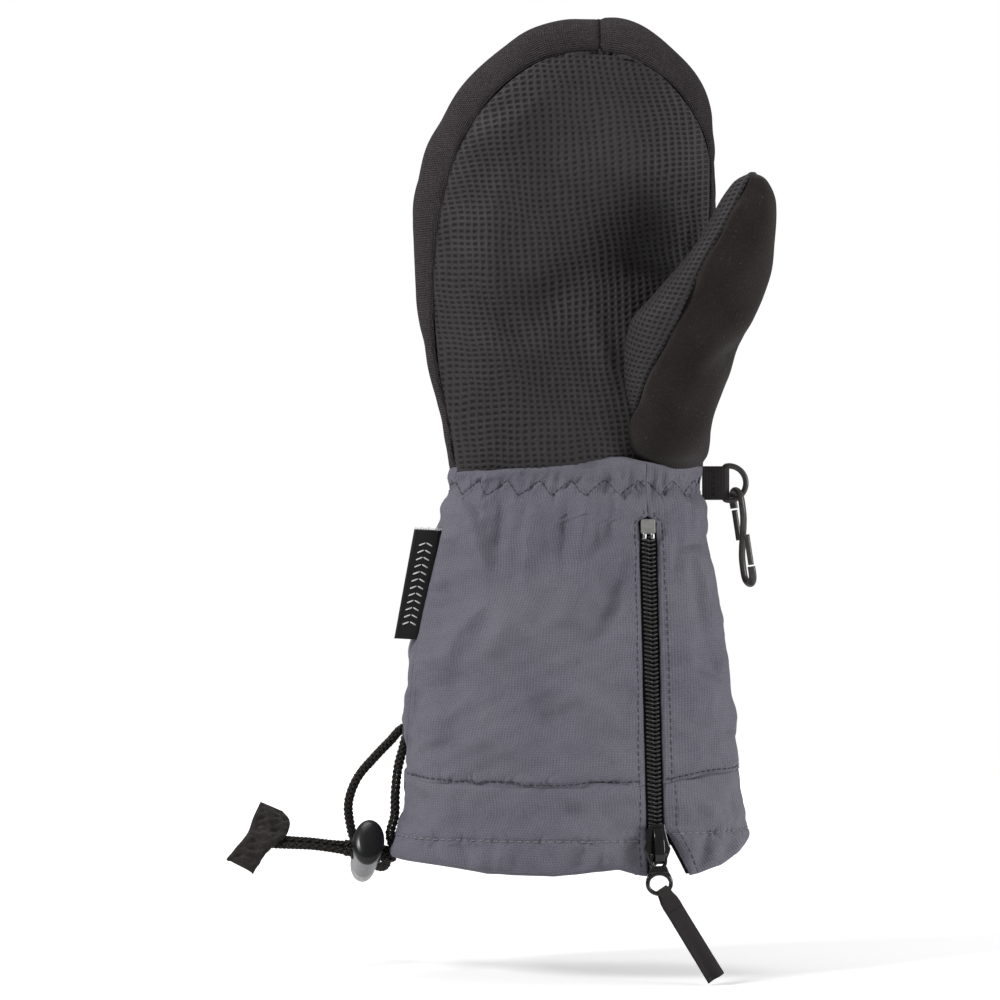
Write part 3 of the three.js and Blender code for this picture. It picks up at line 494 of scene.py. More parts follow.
class Shader:
    """A small hand for building one material's nodes."""

    def __init__(self, name):
        self.material = bpy.data.materials.new(name)
        self.material.use_nodes = True
        self.tree = self.material.node_tree
        self.bsdf = self.tree.nodes["Principled BSDF"]
        self.place = self.add("ShaderNodeTexCoord")

    def add(self, kind, **values):
        node = self.tree.nodes.new(kind)
        for key, value in values.items():
            setattr(node, key, value)
        return node

    def link(self, a, b):
        self.tree.links.new(a, b)

    def math(self, operation, a, b):
        node = self.add("ShaderNodeMath", operation=operation)
        for slot, value in ((0, a), (1, b)):
            if isinstance(value, (int, float)):
                node.inputs[slot].default_value = value
            else:
                self.link(value, node.inputs[slot])
        return node.outputs[0]

    def texture(self, kind, place, values, **settings):
        """The strength of a texture laid out in one kind of coordinates."""
        node = self.add(kind, **settings)
        for key, value in values.items():
            node.inputs[key].default_value = value
        self.link(self.place.outputs[place], node.inputs["Vector"])
        return node.outputs["Fac"]

    def noise(self, scale, detail=3.0, rough=0.6):
        values = {"Scale": scale, "Detail": detail, "Roughness": rough}
        return self.texture("ShaderNodeTexNoise", "Object", values)

    def wave(self, pitch, direction):
        """Bands with a pitch in millimetres along one side of the cloth's own axes."""
        values = {"Scale": 31.4 / pitch, "Distortion": 0.6, "Detail Scale": 3.0}
        return self.texture("ShaderNodeTexWave", "UV", values, bands_direction=direction)

    def blend(self, *parts):
        """The sum of several values, each with its share."""
        total = 0
        for value, share in parts:
            total = self.math("ADD", total, self.math("MULTIPLY", value, share))
        return total

    def ramp(self, factor, *stops):
        node = self.add("ShaderNodeValToRGB")
        ramp = node.color_ramp
        while len(ramp.elements) < len(stops):
            ramp.elements.new(0.5)
        for element, (place, color) in zip(ramp.elements, stops):
            element.position = place
            element.color = (*color, 1)
        self.link(factor, node.inputs["Fac"])
        return node.outputs["Color"]

    def bump(self, height, distance, strength=1.0):
        node = self.add("ShaderNodeBump")
        node.inputs["Distance"].default_value = distance * MM
        node.inputs["Strength"].default_value = strength
        self.link(height, node.inputs["Height"])
        self.link(node.outputs["Normal"], self.bsdf.inputs["Normal"])

    def color(self, socket):
        self.link(socket, self.bsdf.inputs["Base Color"])

    def set(self, **values):
        names = {"roughness": "Roughness", "metallic": "Metallic", "specular": "Specular IOR Level",
                 "sheen": "Sheen Weight", "coat": "Coat Weight"}
        for key, value in values.items():
            self.bsdf.inputs[names[key]].default_value = value


def tint(color, share):
    """A colour made lighter or darker."""
    return tuple(min(c * share, 1.0) for c in color)


def woven(name, color, pitch_u, pitch_v, depth, rough, contrast=0.25, sheen=0.0):
    """Plain weave: two runs of threads that cross, with fine fuzz and colour drift; the colour follows the
    weave's height as painted shade in its dips and painted highlight on its crowns.
    """
    s = Shader(name)
    across = s.wave(pitch_u, "X")
    along = s.wave(pitch_v, "Y")
    cross = s.math("MULTIPLY", across, along)
    fuzz = s.noise(900, 2)
    height = s.blend((cross, 1), (fuzz, 0.5))
    drift = s.noise(14, 3)
    # Colour follows the weave's height: painted shade in the dips between threads and painted highlight on
    # their crowns, plus a drift of the cloth's own tone.
    both = s.blend((height, 0.75), (drift, 0.25))
    s.color(s.ramp(both, (0.2, tint(color, max(1 - contrast, 0.03))), (0.8, tint(color, 1 + contrast))))
    s.bump(height, depth)
    s.set(roughness=rough, specular=0.25, sheen=sheen)
    return s.material


def brushed(name, color, rough, speck=0.0):
    """Brushed or felted cloth with a soft nap."""
    s = Shader(name)
    nap = s.noise(1300, 4, 0.75)
    drift = s.noise(45, 4)
    lint = s.math("MAXIMUM", s.math("SUBTRACT", s.noise(900, 1), 0.68), 0)
    both = s.blend((nap, 0.65), (drift, 0.35), (lint, 4.0))
    s.color(s.ramp(both, (0.32, tint(color, 0.55)), (0.68, tint(color, 1.5)), (1.0, tint(color, 3.0))))
    s.bump(nap, 0.2)
    s.set(roughness=rough, specular=0.15, sheen=speck)
    return s.material


def grip(name, color):
    """The coated palm fabric: small pits in rows, drawn finely over the ones sunk into the mesh, with
    painted shade in the pits.
    """
    s = Shader(name)
    column = s.add("ShaderNodeAttribute", attribute_name="grip_column").outputs["Fac"]
    row = s.add("ShaderNodeAttribute", attribute_name="grip_row").outputs["Fac"]
    dx = s.math("SUBTRACT", column, s.math("ROUND", column, 0))
    dy = s.math("SUBTRACT", row, s.math("ROUND", row, 0))
    wide = s.math("POWER", s.math("MULTIPLY", dx, dx), 2)
    tall = s.math("POWER", s.math("MULTIPLY", dy, dy), 2)
    sharp_x = (PIT_PITCH[0] / PIT_SIZE[0]) ** 4
    sharp_y = (PIT_PITCH[1] / PIT_SIZE[1]) ** 4
    spread = s.blend((wide, sharp_x), (tall, sharp_y))
    pit = s.math("EXPONENT", s.math("MULTIPLY", spread, -1.0), 0)
    fine = s.noise(1500, 3, 0.6)
    drift = s.noise(26, 3)
    # The pits are painted darker than the cloth round them: painted shade in the pits, over a fine and a
    # slow drift of tone.
    sunk = s.blend((fine, 0.45), (drift, 0.55), (pit, -0.42))
    s.color(s.ramp(sunk, (0.0, tint(color, 0.2)), (0.36, tint(color, 0.9)), (0.75, tint(color, 1.8))))
    s.bump(s.blend((fine, 0.5), (pit, -1)), 0.35, 0.9)
    s.set(roughness=0.6, specular=0.3)
    return s.material


def ribbed(name, color):
    """Light nylon with a fine grid of ribs, painted darker and lighter along them as faint streaks of
    painted shade down the cloth, and a slow drift of colour.
    """
    s = Shader(name)
    ribs = s.wave(1.1, "X")
    picks = s.wave(0.92, "Y")
    grit = s.noise(1100, 2, 0.7)
    drift = s.noise(22, 3)
    # The ribs and picks paint lines along their relief: painted shade; the grit and drift are the cloth's
    # own tone.
    mix = s.blend((ribs, 0.19), (picks, 0.13), (grit, 0.36), (drift, 0.32))
    warm = (color[0] * 1.42, color[1] * 1.4, color[2] * 1.28)
    cool = (color[0] * 0.6, color[1] * 0.63, color[2] * 0.76)
    s.color(s.ramp(mix, (0.24, cool), (0.5, color), (0.76, warm)))
    s.bump(s.blend((ribs, 0.132), (picks, 0.088), (s.noise(110, 4, 0.55), 1)), 0.6, 0.6)
    s.set(roughness=0.7, specular=0.25, sheen=0.05)
    return s.material


def ground(name, shade, glow):
    """A pale floor with a little light of its own, brighter the farther out, and clear from below."""
    s = Shader(name)
    s.bsdf.inputs["Base Color"].default_value = (shade, shade, shade, 1)
    s.bsdf.inputs["Emission Color"].default_value = (1, 1, 1, 1)
    seen = s.add("ShaderNodeLightPath").outputs["Is Camera Ray"]
    away = s.add("ShaderNodeVectorMath", operation="LENGTH")
    s.link(s.place.outputs["Object"], away.inputs[0])
    light = s.math("ADD", s.math("POWER", away.outputs["Value"], 2.0), glow)
    s.link(s.math("MULTIPLY", seen, light), s.bsdf.inputs["Emission Strength"])
    s.set(roughness=0.95)
    below = s.add("ShaderNodeNewGeometry").outputs["Backfacing"]
    mix = s.add("ShaderNodeMixShader")
    s.link(s.math("MULTIPLY", seen, below), mix.inputs[0])
    s.link(s.bsdf.outputs[0], mix.inputs[1])
    s.link(s.add("ShaderNodeBsdfTransparent").outputs[0], mix.inputs[2])
    s.link(mix.outputs[0], s.tree.nodes["Material Output"].inputs["Surface"])
    return s.material


def moulded(name, color, rough, metallic=0.0, coat=0.0, grain=0.02):
    """Plastic or lacquered metal with a faint grain."""
    s = Shader(name)
    grainy = s.noise(700, 3)
    s.color(s.ramp(grainy, (0.3, tint(color, 0.85)), (0.7, tint(color, 1.15))))
    s.bump(grainy, grain)
    s.set(roughness=rough, metallic=metallic, coat=coat)
    return s.material


MATERIAL = {
    "grip": grip("grip laminate", (0.035, 0.0315, 0.0335)),
    "oxford": woven("coarse oxford", (0.056, 0.048, 0.051), 0.86, 0.86, 0.8, 0.85, 1.5),
    "suede": brushed("brushed microfibre", (0.0235, 0.0185, 0.0185), 0.95, 0.12),
    "nylon": ribbed("fine ribbed nylon", (0.161, 0.156, 0.189)),
    "thread": woven("cuff thread", (0.075, 0.073, 0.092), 0.5, 0.5, 0.05, 0.8),
    "pale_thread": woven("pale thread", (0.3, 0.3, 0.33), 0.5, 0.5, 0.05, 0.8),
    "dark_thread": woven("dark thread", (0.02, 0.018, 0.02), 0.5, 0.5, 0.05, 0.8),
    "lining": brushed("tricot lining", (0.05, 0.05, 0.057), 0.95, 0.1),
    "down": brushed("down baffle", (0.75, 0.72, 0.66), 0.9),
    "film": moulded("membrane film", (0.65, 0.66, 0.68), 0.45),
    "elastic": woven("elastic", (0.6, 0.6, 0.6), 1.6, 0.8, 0.15, 0.9),
    "tape": woven("zip tape", (0.012, 0.012, 0.013), 0.7, 0.7, 0.1, 0.8),
    "coil": moulded("zip coil", (0.05, 0.047, 0.047), 0.3, grain=0.01),
    "webbing": woven("ribbed webbing", (0.034, 0.030, 0.030), 1.1, 0.8, 0.12, 0.6),
    "cord": woven("braided cord", (0.030, 0.026, 0.023), 0.9, 0.9, 0.15, 0.6, 0.5),
    "black": moulded("gloss black plastic", (0.008, 0.0085, 0.009), 0.3, grain=0.004),
    "clip": moulded("satin black plastic", (0.062, 0.056, 0.053), 0.34, grain=0.015),
    "grey": moulded("grey plastic", (0.5, 0.5, 0.51), 0.36, coat=0.2, grain=0.008),
    "sleeve": moulded("cord lock sleeve", (0.3, 0.3, 0.31), 0.3, grain=0.008),
    "lacquer": moulded("black lacquered metal", (0.01, 0.01, 0.011), 0.2, 0.4, 0.6, 0.008),
    "steel": moulded("steel", (0.5, 0.5, 0.51), 0.3, 1.0),
    "satin": woven("label satin", (0.012, 0.012, 0.013), 0.35, 0.35, 0.04, 0.55),
    "ribbon": woven("pull ribbon", (0.036, 0.032, 0.032), 0.75, 0.7, 0.06, 0.85, 0.15),
    "suede_tab": brushed("suede tab", (0.03, 0.0265, 0.0255), 0.92, 0.1),
    "stop": moulded("zip stop", (0.25, 0.245, 0.24), 0.5, grain=0.02),
    "floor": ground("pale floor", 0.86, 0.45),
    "white_thread": woven("white thread", (0.8, 0.8, 0.8), 0.4, 0.4, 0.03, 0.8, 0.08),
}


# ---- Hand ----
THUMB_BEND = ("mitten", "thumb_tip", tuple((np.array([40, -24, 186]) - ORIGIN) * MM),
              tuple((np.array([47, -31, 208]) - ORIGIN) * MM))

SHELL = 0.9  # the thickness of the hand's outer fabrics


def pits(column, row):
    """How deep the grip's pits are at a place counted in pitches, from 0 on the ribs to 1 in a pit."""
    dx = (column - np.round(column)) * PIT_PITCH[0] / PIT_SIZE[0]
    dy = (row - np.round(row)) * PIT_PITCH[1] / PIT_SIZE[1]
    return np.exp(-(dx**4) - dy**4)


def grip_piece(name, grid, place, row, body, depth=0.3, replaces=(), taper=1.0):
    """A grip panel with its pits sunk into it and their rows recorded for the material."""
    away = edge_distance(grid)
    column, row = place / PIT_PITCH[0], row / PIT_PITCH[1]
    deep = pits(column, row) * np.clip(away / 1.5 - 0.4, 0, 1)
    obj = sheet(name, push(grid, -deep * depth - seam_roll(away) * taper), SHELL, "grip", body, replaces)
    for label, values in (("grip_column", column), ("grip_row", row)):
        layer = obj.data.attributes.new(label, "FLOAT", "POINT")
        values = np.broadcast_to(values, away.shape).ravel()
        layer.data.foreach_set("value", np.concatenate([values, values]))


# Broad hollows and creases of the palm: x and z of both ends, half width, height.
PALM_FOLDS = [
    (46, 228, 4, 214, 12, -5.5), (4, 214, -20, 200, 8, -3.4), (34, 254, -8, 244, 15, 1.8),
    (-38, 232, -26, 206, 8, 2.1), (-32, 208, -14, 192, 3.6, -1.7), (-38, 194, -14, 180, 4, 1.4),
    (-12, 184, 8, 164, 5, -1.6), (8, 200, 15, 172, 4, 1.5), (-36, 168, -14, 160, 4.5, -1.1),
    (-8, 270, 24, 262, 9, -1.5), (-34, 252, -20, 262, 6, -1.1)
]


def build_palm():
    grid = padded(palm_grid(54, 36), 268, 184, 1.6, 0.02)
    grid = push(grid, fold_height(grid, PALM_FOLDS) * np.clip(edge_distance(grid) / 9, 0, 1))
    x, z = grid[..., 0], grid[..., 2]
    lift = 0.0032 * np.maximum(x + 18, 0) ** 2 * np.exp(-(((z - 212) / 60) ** 2))
    sway = noise(grid, 60, 12) * 0.9 + noise(grid, 13, 13) * 0.22
    grip_piece("palm_panel_look", grid, x + 0.12 * z + sway, z - lift + sway, "mitten")


def oxford_sheet(name, grid, ripple):
    """A coarse woven panel of the hand, rippled and rolled under at its seams."""
    away = edge_distance(grid)
    sheet(name + "_look", push(push(grid, ripple), -seam_roll(away)), SHELL, "oxford", "mitten")


def build_bands():
    for side, name in ((-1, "side_band_little_finger"), (1, "side_band_index_finger")):
        grid = padded(band_grid(64, 9, side), 300, 40, 1.0, 0.012, 1.5)
        oxford_sheet(name, grid, noise(grid, 34, 3 + side) * 0.35)


def build_back():
    grid = padded(back_grid(54, 44), 200, 160, 2.5, 0.03)
    oxford_sheet("back_panel", grid, noise(grid, 45, 9) * 0.7)


def tip_taper(grid):
    """Full strength along the thumb, fading out where its tip is too small for it."""
    return np.clip((249.5 - grid[..., 2]) / 9, 0.05, 1)


def build_thumb():
    halves = lambda name: [name + "_base", name + "_tip"]
    grid = padded(thumb_grid(44, 16, True), 220, 110, 1.0, 0.015, 1.2)
    across, up = lengths(grid)
    grip_piece("thumb_palm_panel_look", grid, across - across[:, -1:], up, THUMB_BEND, 0.25,
               halves("thumb_palm_panel"), tip_taper(grid))
    grid = padded(thumb_grid(44, 22, False), 180, 110, 1.2, 0.02, 1.4)
    away = edge_distance(grid)
    grid = push(grid, noise(grid, 24, 21) * 0.6 * tip_taper(grid))
    grid = push(grid, -seam_roll(away, 1.1, 1.4) * tip_taper(grid))
    sheet("thumb_back_panel_look", grid, SHELL, "suede", THUMB_BEND, halves("thumb_back_panel"))


# ---- Cuff ----
# Height, left edge, right edge, half depth.
CUFF = [
    (-3, -65.6, 65.6, 34.2), (1.8, -66.2, 65.5, 34), (5, -66.6, 65.4, 33.7), (8, -66, 65.3, 33.4),
    (11, -64.9, 65.1, 33.2), (14.9, -63.3, 64.8, 33), (18, -62.6, 64.2, 32.7), (24.3, -61.7, 63.2, 32.2),
    (31, -61, 62.2, 31.7), (38, -60.4, 61.5, 31.2), (46, -60.3, 60.9, 30.7), (49.5, -61.6, 60.6, 30.4),
    (56, -62.2, 60, 30), (77, -60.6, 58, 28.5), (99, -56, 54.6, 26.9), (121, -50.6, 50, 25.2),
    (131, -47.6, 48.6, 24.2), (138, -45.2, 47.8, 23.4), (142, -44.6, 47.8, 23.6),
    (148, -44.4, 48.6, 24.8), (152, -44.4, 48.9, 25.2)
]
FRONT_SEAM = [
    (-3, -65), (5, -65.8), (11, -64.4), (14.9, -62.8), (24.3, -61.2), (38, -60), (46, -59.8),
    (55.8, -59.4), (77.4, -57.4), (99, -52.9), (124.2, -47.3), (135, -44.8), (145.1, -41.9), (152, -41.5)
]
CUFF_TOP = [
    (-66, 145.5), (-41.7, 145.1), (-26, 146), (-12.2, 146.9), (2, 148.9), (13, 150.7), (19, 150.6),
    (27.4, 148.6), (37.1, 146.6), (48.6, 147.4), (66, 148)
]
CUFF_RIM = [
    (-68, 5.5), (-60, 4.6), (-46.9, 3.6), (-30.6, 1.4), (-6.5, 0.6), (8, 2.2), (16.8, 2.9), (25.5, 0.6),
    (33, 1), (41.7, 0.6), (54.4, 3.6), (61.5, 7.6), (66, 11.5)
]
HEM_LINE = [
    (-68, 34.6), (-59, 33.8), (-40.3, 32.6), (-11.2, 31.9), (10, 32.2), (24.5, 32.9), (35.1, 33.6),
    (46.7, 35.4), (62.1, 37), (68, 37.2)
]
BACK_RIM_Z = 5.5
BACK_HEM_Z = 36.0
BACK_TOP_Z = 147.0
HEM_TUCK = 1.7
LOWER_STITCH_Z = {"front": 13.2, "side": 15.6, "back": 15.6}
ZIP_EDGE = 3.1
ZIP_WINDOW_TOP = 128.3
ZIP_OPEN_Z = 17  # below it the flap beside the zip hangs free
ELASTIC_Z = 139
POWER = 2.3

# Soft folds of the front of the cuff: x and z of both ends, half width, height.
FOLDS = [
    (-36, 131, -30, 108, 2.4, 2.1), (-24, 133, -27, 112, 2.2, -1.4), (-12, 134, -18, 104, 2.6, 2.4),
    (-2, 134, -4, 108, 2, -1.3), (6, 137, 1, 108, 2.4, 2.7), (15, 136, 12, 118, 1.8, -1.3),
    (20, 112, 2, 74, 5.5, -3.2), (12, 116, -10, 84, 5, 2.4), (-16, 96, -40, 74, 6, 2.1),
    (-30, 92, -48, 66, 5, -2), (-14, 62, 4, 52, 5.5, -2.8), (2, 66, 20, 50, 5, 2.1),
    (-46, 60, -52, 40, 4.5, 2), (22, 70, 17, 42, 3.6, -1.7), (-34, 52, -14, 42, 4.5, 1.7),
    (43, 118, 47, 84, 3.2, -2), (38, 92, 44, 60, 4, 2), (50, 84, 56, 52, 3.4, -1.7),
    (36, 128, 34, 108, 1.8, 1.5), (42, 132, 43, 116, 1.8, -1.5)
]
HEM_FOLDS = [
    (-56, 30, -50, 18, 3, -1.5), (-40, 14, -36, 2, 3, -2), (-14, 30, -22, 20, 4, 1.7),
    (-4, 24, 8, 18, 4, -1.7), (-24, 12, -26, 0, 2.6, 2), (4, 12, 2, 0, 2.6, -2), (14, 12, 15, 0, 2.4, 2),
    (46, 30, 50, 18, 3, 1.7), (48, 16, 46, 2, 2.6, -2), (56, 30, 60, 16, 2.4, -2), (58, 14, 60, 4, 2, 2)
]


def zip_x(z):
    """The x of the zip's centre at a height."""
    return 30.0 - 2.6 * z / 126.0


def zip_gap(z):
    """Half the zip's window at a height; above the zip its edges meet in a seam."""
    return 0.02 + (ZIP_EDGE - 0.02) * np.clip(ZIP_WINDOW_TOP - z, 0, 1) ** 0.35


def cuff_ring(z):
    """The cuff's left edge, right edge and half depth at a height."""
    return tuple(table_at(CUFF, z, k) for k in (1, 2, 3))


def cuff_point(angle, z):
    """A point of the cuff's surface; pi is the little-finger side and 3/2 pi the middle of the front."""
    left, right, deep = cuff_ring(z)
    px, py = rounded(angle, POWER)
    x = (left + right) / 2 + (right - left) / 2 * px
    return np.stack([x, deep * py, np.broadcast_to(z, x.shape)], -1)


def front_angle(x, z):
    """The angle of a place on the cuff's front, from its x."""
    left, right, _ = cuff_ring(z)
    share = np.clip((x - (left + right) / 2) / ((right - left) / 2), -1, 1)
    return 2 * math.pi - np.arccos(np.sign(share) * np.abs(share) ** (POWER / 2))


def cuff_grid(rows, cols, start, end, low, high):
    """A patch of the cuff between two edges, as angles at a height, and two lines, as heights along it."""
    u = np.linspace(0, 1, cols)
    v = np.linspace(0, 1, rows)[:, None]
    z = np.broadcast_to(low(u)[None] * (1 - v) + high(u)[None] * v, (rows, cols))
    a, b = start(z), end(z)
    return cuff_point(a + (b - a) * u[None], z)


def fold_height(grid, folds):
    """The sum of soft folds at every point of a patch of the front."""
    total = np.zeros(grid.shape[:2])
    p = grid[..., [0, 2]]
    for x0, z0, x1, z1, wide, high in folds:
        a, b = np.array([x0, z0]), np.array([x1, z1])
        run = b - a
        share = ((p - a) @ run) / run.dot(run)
        t = np.clip(share, 0, 1)
        away = np.linalg.norm(p - (a + t[..., None] * run), axis=-1)
        taper = np.exp(-((share - 0.4) ** 2) / 0.22)
        total += high * taper * np.exp(-((away / wide) ** 2))
    return total


def gathers(grid, seed, spacing=5.2):
    """Small pleats that hang from the elastic and fade out below it."""
    rng = np.random.default_rng(seed)
    run = lengths(grid)[0][row_near(grid, ELASTIC_Z - 1)]
    drop_from = ELASTIC_Z - grid[..., 2]
    total = np.zeros(drop_from.shape)
    place = rng.uniform(0, spacing)
    while place < run[-1]:
        high = rng.uniform(0.6, 1.5) * rng.choice([1, 1, -0.7])
        drop = rng.uniform(12, 34)
        wide = rng.uniform(1.0, 1.9)
        lean = rng.uniform(-0.25, 0.25)
        below = np.clip(drop_from / drop, 0, 1)
        fade = (1 - below) ** 1.5 * (1 - np.clip(-drop_from / 9, 0, 1) * 0.75)
        away = run[None] - place - lean * drop_from
        total += high * fade * np.exp(-((away / (wide * (1 + below))) ** 2))
        place += rng.uniform(0.6, 1.4) * spacing
    return total


def cinch(z):
    """How far the elastic draws the cuff in."""
    return 0.9 * np.exp(-(((z - ELASTIC_Z) / 4.5) ** 2))


def zigzag_height(run, pitch=12.8, swing=2.9, middle=139.4):
    """The height of the elastic's zigzag stitching at a distance round the cuff."""
    return middle + swing * (4 * np.abs((run / pitch) % 1 - 0.5) - 1)


def pucker(grid, lines, seed):
    """Grooves under lines of stitching and the gathers beside them; a line has a height for each column."""
    run = lengths(grid)[0][len(grid) // 2]
    wobble = noise(grid, 7, seed)
    total = np.zeros(wobble.shape)
    for heights in lines:
        slope = np.gradient(heights) / np.maximum(np.gradient(run), 1e-6)
        away = (grid[..., 2] - heights) / np.sqrt(1 + slope**2)
        gather = np.sin(2 * math.pi * run / 4.4 + 2.2 * wobble) * (0.6 + 0.4 * wobble)
        total += 0.34 * gather * np.exp(-((away / 3.2) ** 2)) - 0.42 * np.exp(-((away / 0.75) ** 2))
    return total


def nylon_sheet(name, coarse, fine, seed, folds=()):
    """One panel of the cuff: pleated, folded, relaxed by the cloth solver and rolled under at its seams."""
    band = name.startswith("hem_")
    shape = fold_height(coarse, folds)
    if not band:
        shape = shape + gathers(coarse, seed) - cinch(coarse[..., 2])
    shape = shape * np.clip(edge_distance(coarse) / 3.0, 0.25, 1)
    grid = enlarge(puff(push(coarse, shape), 0.8, 0.03, bend=0.2, limit=1.6, smooth=2), *fine)
    away = edge_distance(grid, low=band, high=not band)
    run, up = lengths(grid)
    if band:
        lines = [LOWER_STITCH_Z[name.split("_")[1]] + 0 * grid[0, :, 2]]
    else:
        lines = [zigzag_height(run[row_near(grid, ELASTIC_Z)]), grid[0, :, 2] + 1.5]
    ripple = noise(grid, 9, seed) * 0.24 + noise(grid, 22, seed + 1) * 0.6 + pucker(grid, lines, seed)
    shape = ripple * np.clip(away / 3, 0, 1) - seam_roll(away, 0.4, 0.7)
    if band:
        shape = shape - 0.7 * np.clip(up - up[-1:] + HEM_TUCK + 0.5, 0, 1)
    grid = push(grid, shape)
    sheet(name + "_look", grid, 0.55, "nylon", "mitten")
    return grid


def row_near(grid, z):
    """The row of a patch whose first point is nearest to a height."""
    return np.argmin(np.abs(grid[:, 0, 2] - z))


def on_grid(grid, u, v, lift):
    """Points above a patch at shares u across it and v up it."""
    rows, cols = grid.shape[:2]
    r = np.clip(v + 0 * u, 0, 1) * (rows - 1.001)
    c = np.clip(u + 0 * v, 0, 1) * (cols - 1.001)
    i, j = r.astype(int), c.astype(int)
    a, b = (r - i)[:, None], (c - j)[:, None]
    full = grid + normals(grid) * lift
    low = full[i, j] * (1 - b) + full[i, j + 1] * b
    high = full[i + 1, j] * (1 - b) + full[i + 1, j + 1] * b
    return low * (1 - a) + high * a


def row_at(grid, u, z):
    """The share up a patch at which it reaches a height."""
    cols = np.clip((u * (grid.shape[1] - 1)).astype(int), 0, grid.shape[1] - 1)
    v = np.linspace(0, 1, grid.shape[0])
    return np.array([np.interp(h, grid[:, c, 2], v) for c, h in zip(cols, z)])


def follow(table, start, end, level):
    """The height of an edge line at each column of a patch whose sides are given as angles at a height."""
    level = np.array(float(level))
    a, b = start(level), end(level)
    return lambda u: table_at(table, cuff_point(a + (b - a) * u, level)[..., 0])


def build_cuff():
    """All the cuff's panels and hem bands, as grids for their stitching."""
    seam = lambda z: front_angle(table_at(FRONT_SEAM, z), z)
    zip_left = lambda z: front_angle(zip_x(z) - zip_gap(z), z)
    zip_right = lambda z: front_angle(zip_x(z) + zip_gap(z), z)
    flap = lambda z: front_angle(zip_x(z) + ZIP_EDGE + zip_flare(z), z)
    right = lambda z: np.full(np.shape(z), 2 * math.pi)
    behind = lambda z: np.full(np.shape(z), 0.0)

    def patch(rows, cols, start, end, low, high, lift=0.0):
        """A patch of the front between two edge tables, each given with its usual height."""
        lower, upper = (follow(table, start, end, level) for table, level in (low, high))
        return cuff_grid(rows, cols, start, end, lower, lambda u: upper(u) + lift)

    level = lambda z: lambda u: z + 0 * u
    rim = lambda u: BACK_RIM_Z + 6.0 * np.exp(-((u / 0.1) ** 2))
    top, hem, edge, tucked = (CUFF_TOP, 148), (HEM_LINE, 35), (CUFF_RIM, 3), (HEM_LINE, 33)
    front = patch(60, 46, seam, zip_left, (HEM_LINE, 32), top)
    side = patch(60, 20, zip_right, right, hem, top)
    back = cuff_grid(60, 70, behind, seam, level(BACK_HEM_Z), level(BACK_TOP_Z))
    hem_front = patch(20, 46, seam, zip_left, edge, tucked, HEM_TUCK)
    hem_side = patch(20, 20, flap, right, edge, tucked, HEM_TUCK)
    hem_back = cuff_grid(20, 70, behind, seam, rim, level(BACK_HEM_Z + HEM_TUCK))
    return {"front": nylon_sheet("cuff_front_panel", front, (300, 210), 4, FOLDS),
            "side": nylon_sheet("cuff_side_panel", side, (300, 90), 5, FOLDS),
            "back": nylon_sheet("cuff_back_panel", back, (220, 220), 6),
            "hem_front": nylon_sheet("hem_front_band", hem_front, (110, 210), 7, HEM_FOLDS),
            "hem_side": nylon_sheet("hem_side_band", hem_side, (110, 90), 8, HEM_FOLDS),
            "hem_back": nylon_sheet("hem_back_band", hem_back, (90, 220), 9)}


def build_cuff_stitches(panels):
    """The zigzag over the elastic, the seams' top stitches, and the stitching beside the zip."""

    def sew(name, path, pitch, length, radius, look="thread"):
        capsules(name, stitch_ends(path, pitch, length), radius, look, "mitten")

    u = np.linspace(0.02, 0.98, 240)
    for name in ("front", "side", "back"):
        grid, band = panels[name], panels["hem_" + name]
        run = lengths(grid)[0][row_near(grid, ELASTIC_Z)]
        place = np.linspace(0.5, run[-1] - 0.5, 900)
        share = np.interp(place, run, np.linspace(0, 1, len(run)))
        zigzag = on_grid(grid, share, row_at(grid, share, zigzag_height(place)), 0.05)
        sew(f"zigzag_{name}", zigzag, 2.1, 1.7, 0.2)
        sew(f"hem_stitch_{name}", on_grid(grid, u, 1.5 / 108, 0.14), 2.4, 1.7, 0.22)
        height = row_at(band, u, np.full(240, LOWER_STITCH_Z[name]))
        sew(f"lower_stitch_{name}", on_grid(band, u, height, 0.2), 2.9, 2.0, 0.26, "pale_thread")
    beside_zip = (("front", 1 - 2.0 / 84, 0.85, 200), ("side", 2.0 / 34, 0.85, 200),
                  ("hem_front", 1 - 2.0 / 88, 0.95, 60), ("hem_side", 2.6 / 34, 0.95, 60))
    for name, share, high, count in beside_zip:
        path = on_grid(panels[name], share, np.linspace(0, high, count), 0.05)
        sew(f"zip_stitch_{name}", path, 2.6, 1.8, 0.18)


# ---- Layers inside ----


def hand_form(rows, cols, inset, start, end):
    """A layer inside the hand between two angles, from the wrist up over the fingertips."""
    low, top = 150.0, TIP_Z - inset
    z = low + (top - low) * (1 - (1 - np.linspace(0, 1, rows)) ** 1.5)
    share = np.clip((z - DOME_Z) / (top - DOME_Z), 0, 0.999)
    left = outline_x(BAND_LEFT, np.minimum(z, DOME_Z)) + inset
    right = outline_x(BAND_RIGHT, np.minimum(z, DOME_Z)) - inset
    close = np.sqrt(1 - share**2)
    middle = (left + right) / 2
    middle = middle + (8 - middle) * share
    px, py = rounded(np.linspace(start, end, cols)[None], 2.4)
    deep = (table_at(PALM_DEPTH, z) - inset) * close**0.84
    x = middle[:, None] + ((right - left) / 2 * close)[:, None] * px
    y = curl(z)[:, None] + deep[:, None] * py
    return np.dstack([x, y, np.broadcast_to(z[:, None], x.shape)])


def thumb_form(rows, cols, inset):
    """A layer inside the thumb, as a tube that closes at its tip."""
    z = thumb_heights(rows, 158.0)
    xc, yc, half, deep = thumb_ring(z)
    z = np.minimum(z, THUMB_TIP_Z - inset)
    angle = np.linspace(0, 2 * math.pi, cols)[None]
    x = xc[:, None] + np.maximum(half - inset, 0.5)[:, None] * np.cos(angle)
    y = yc[:, None] + np.maximum(deep - inset, 0.5)[:, None] * np.sin(angle)
    return np.dstack([x, y, np.broadcast_to(z[:, None], x.shape)])


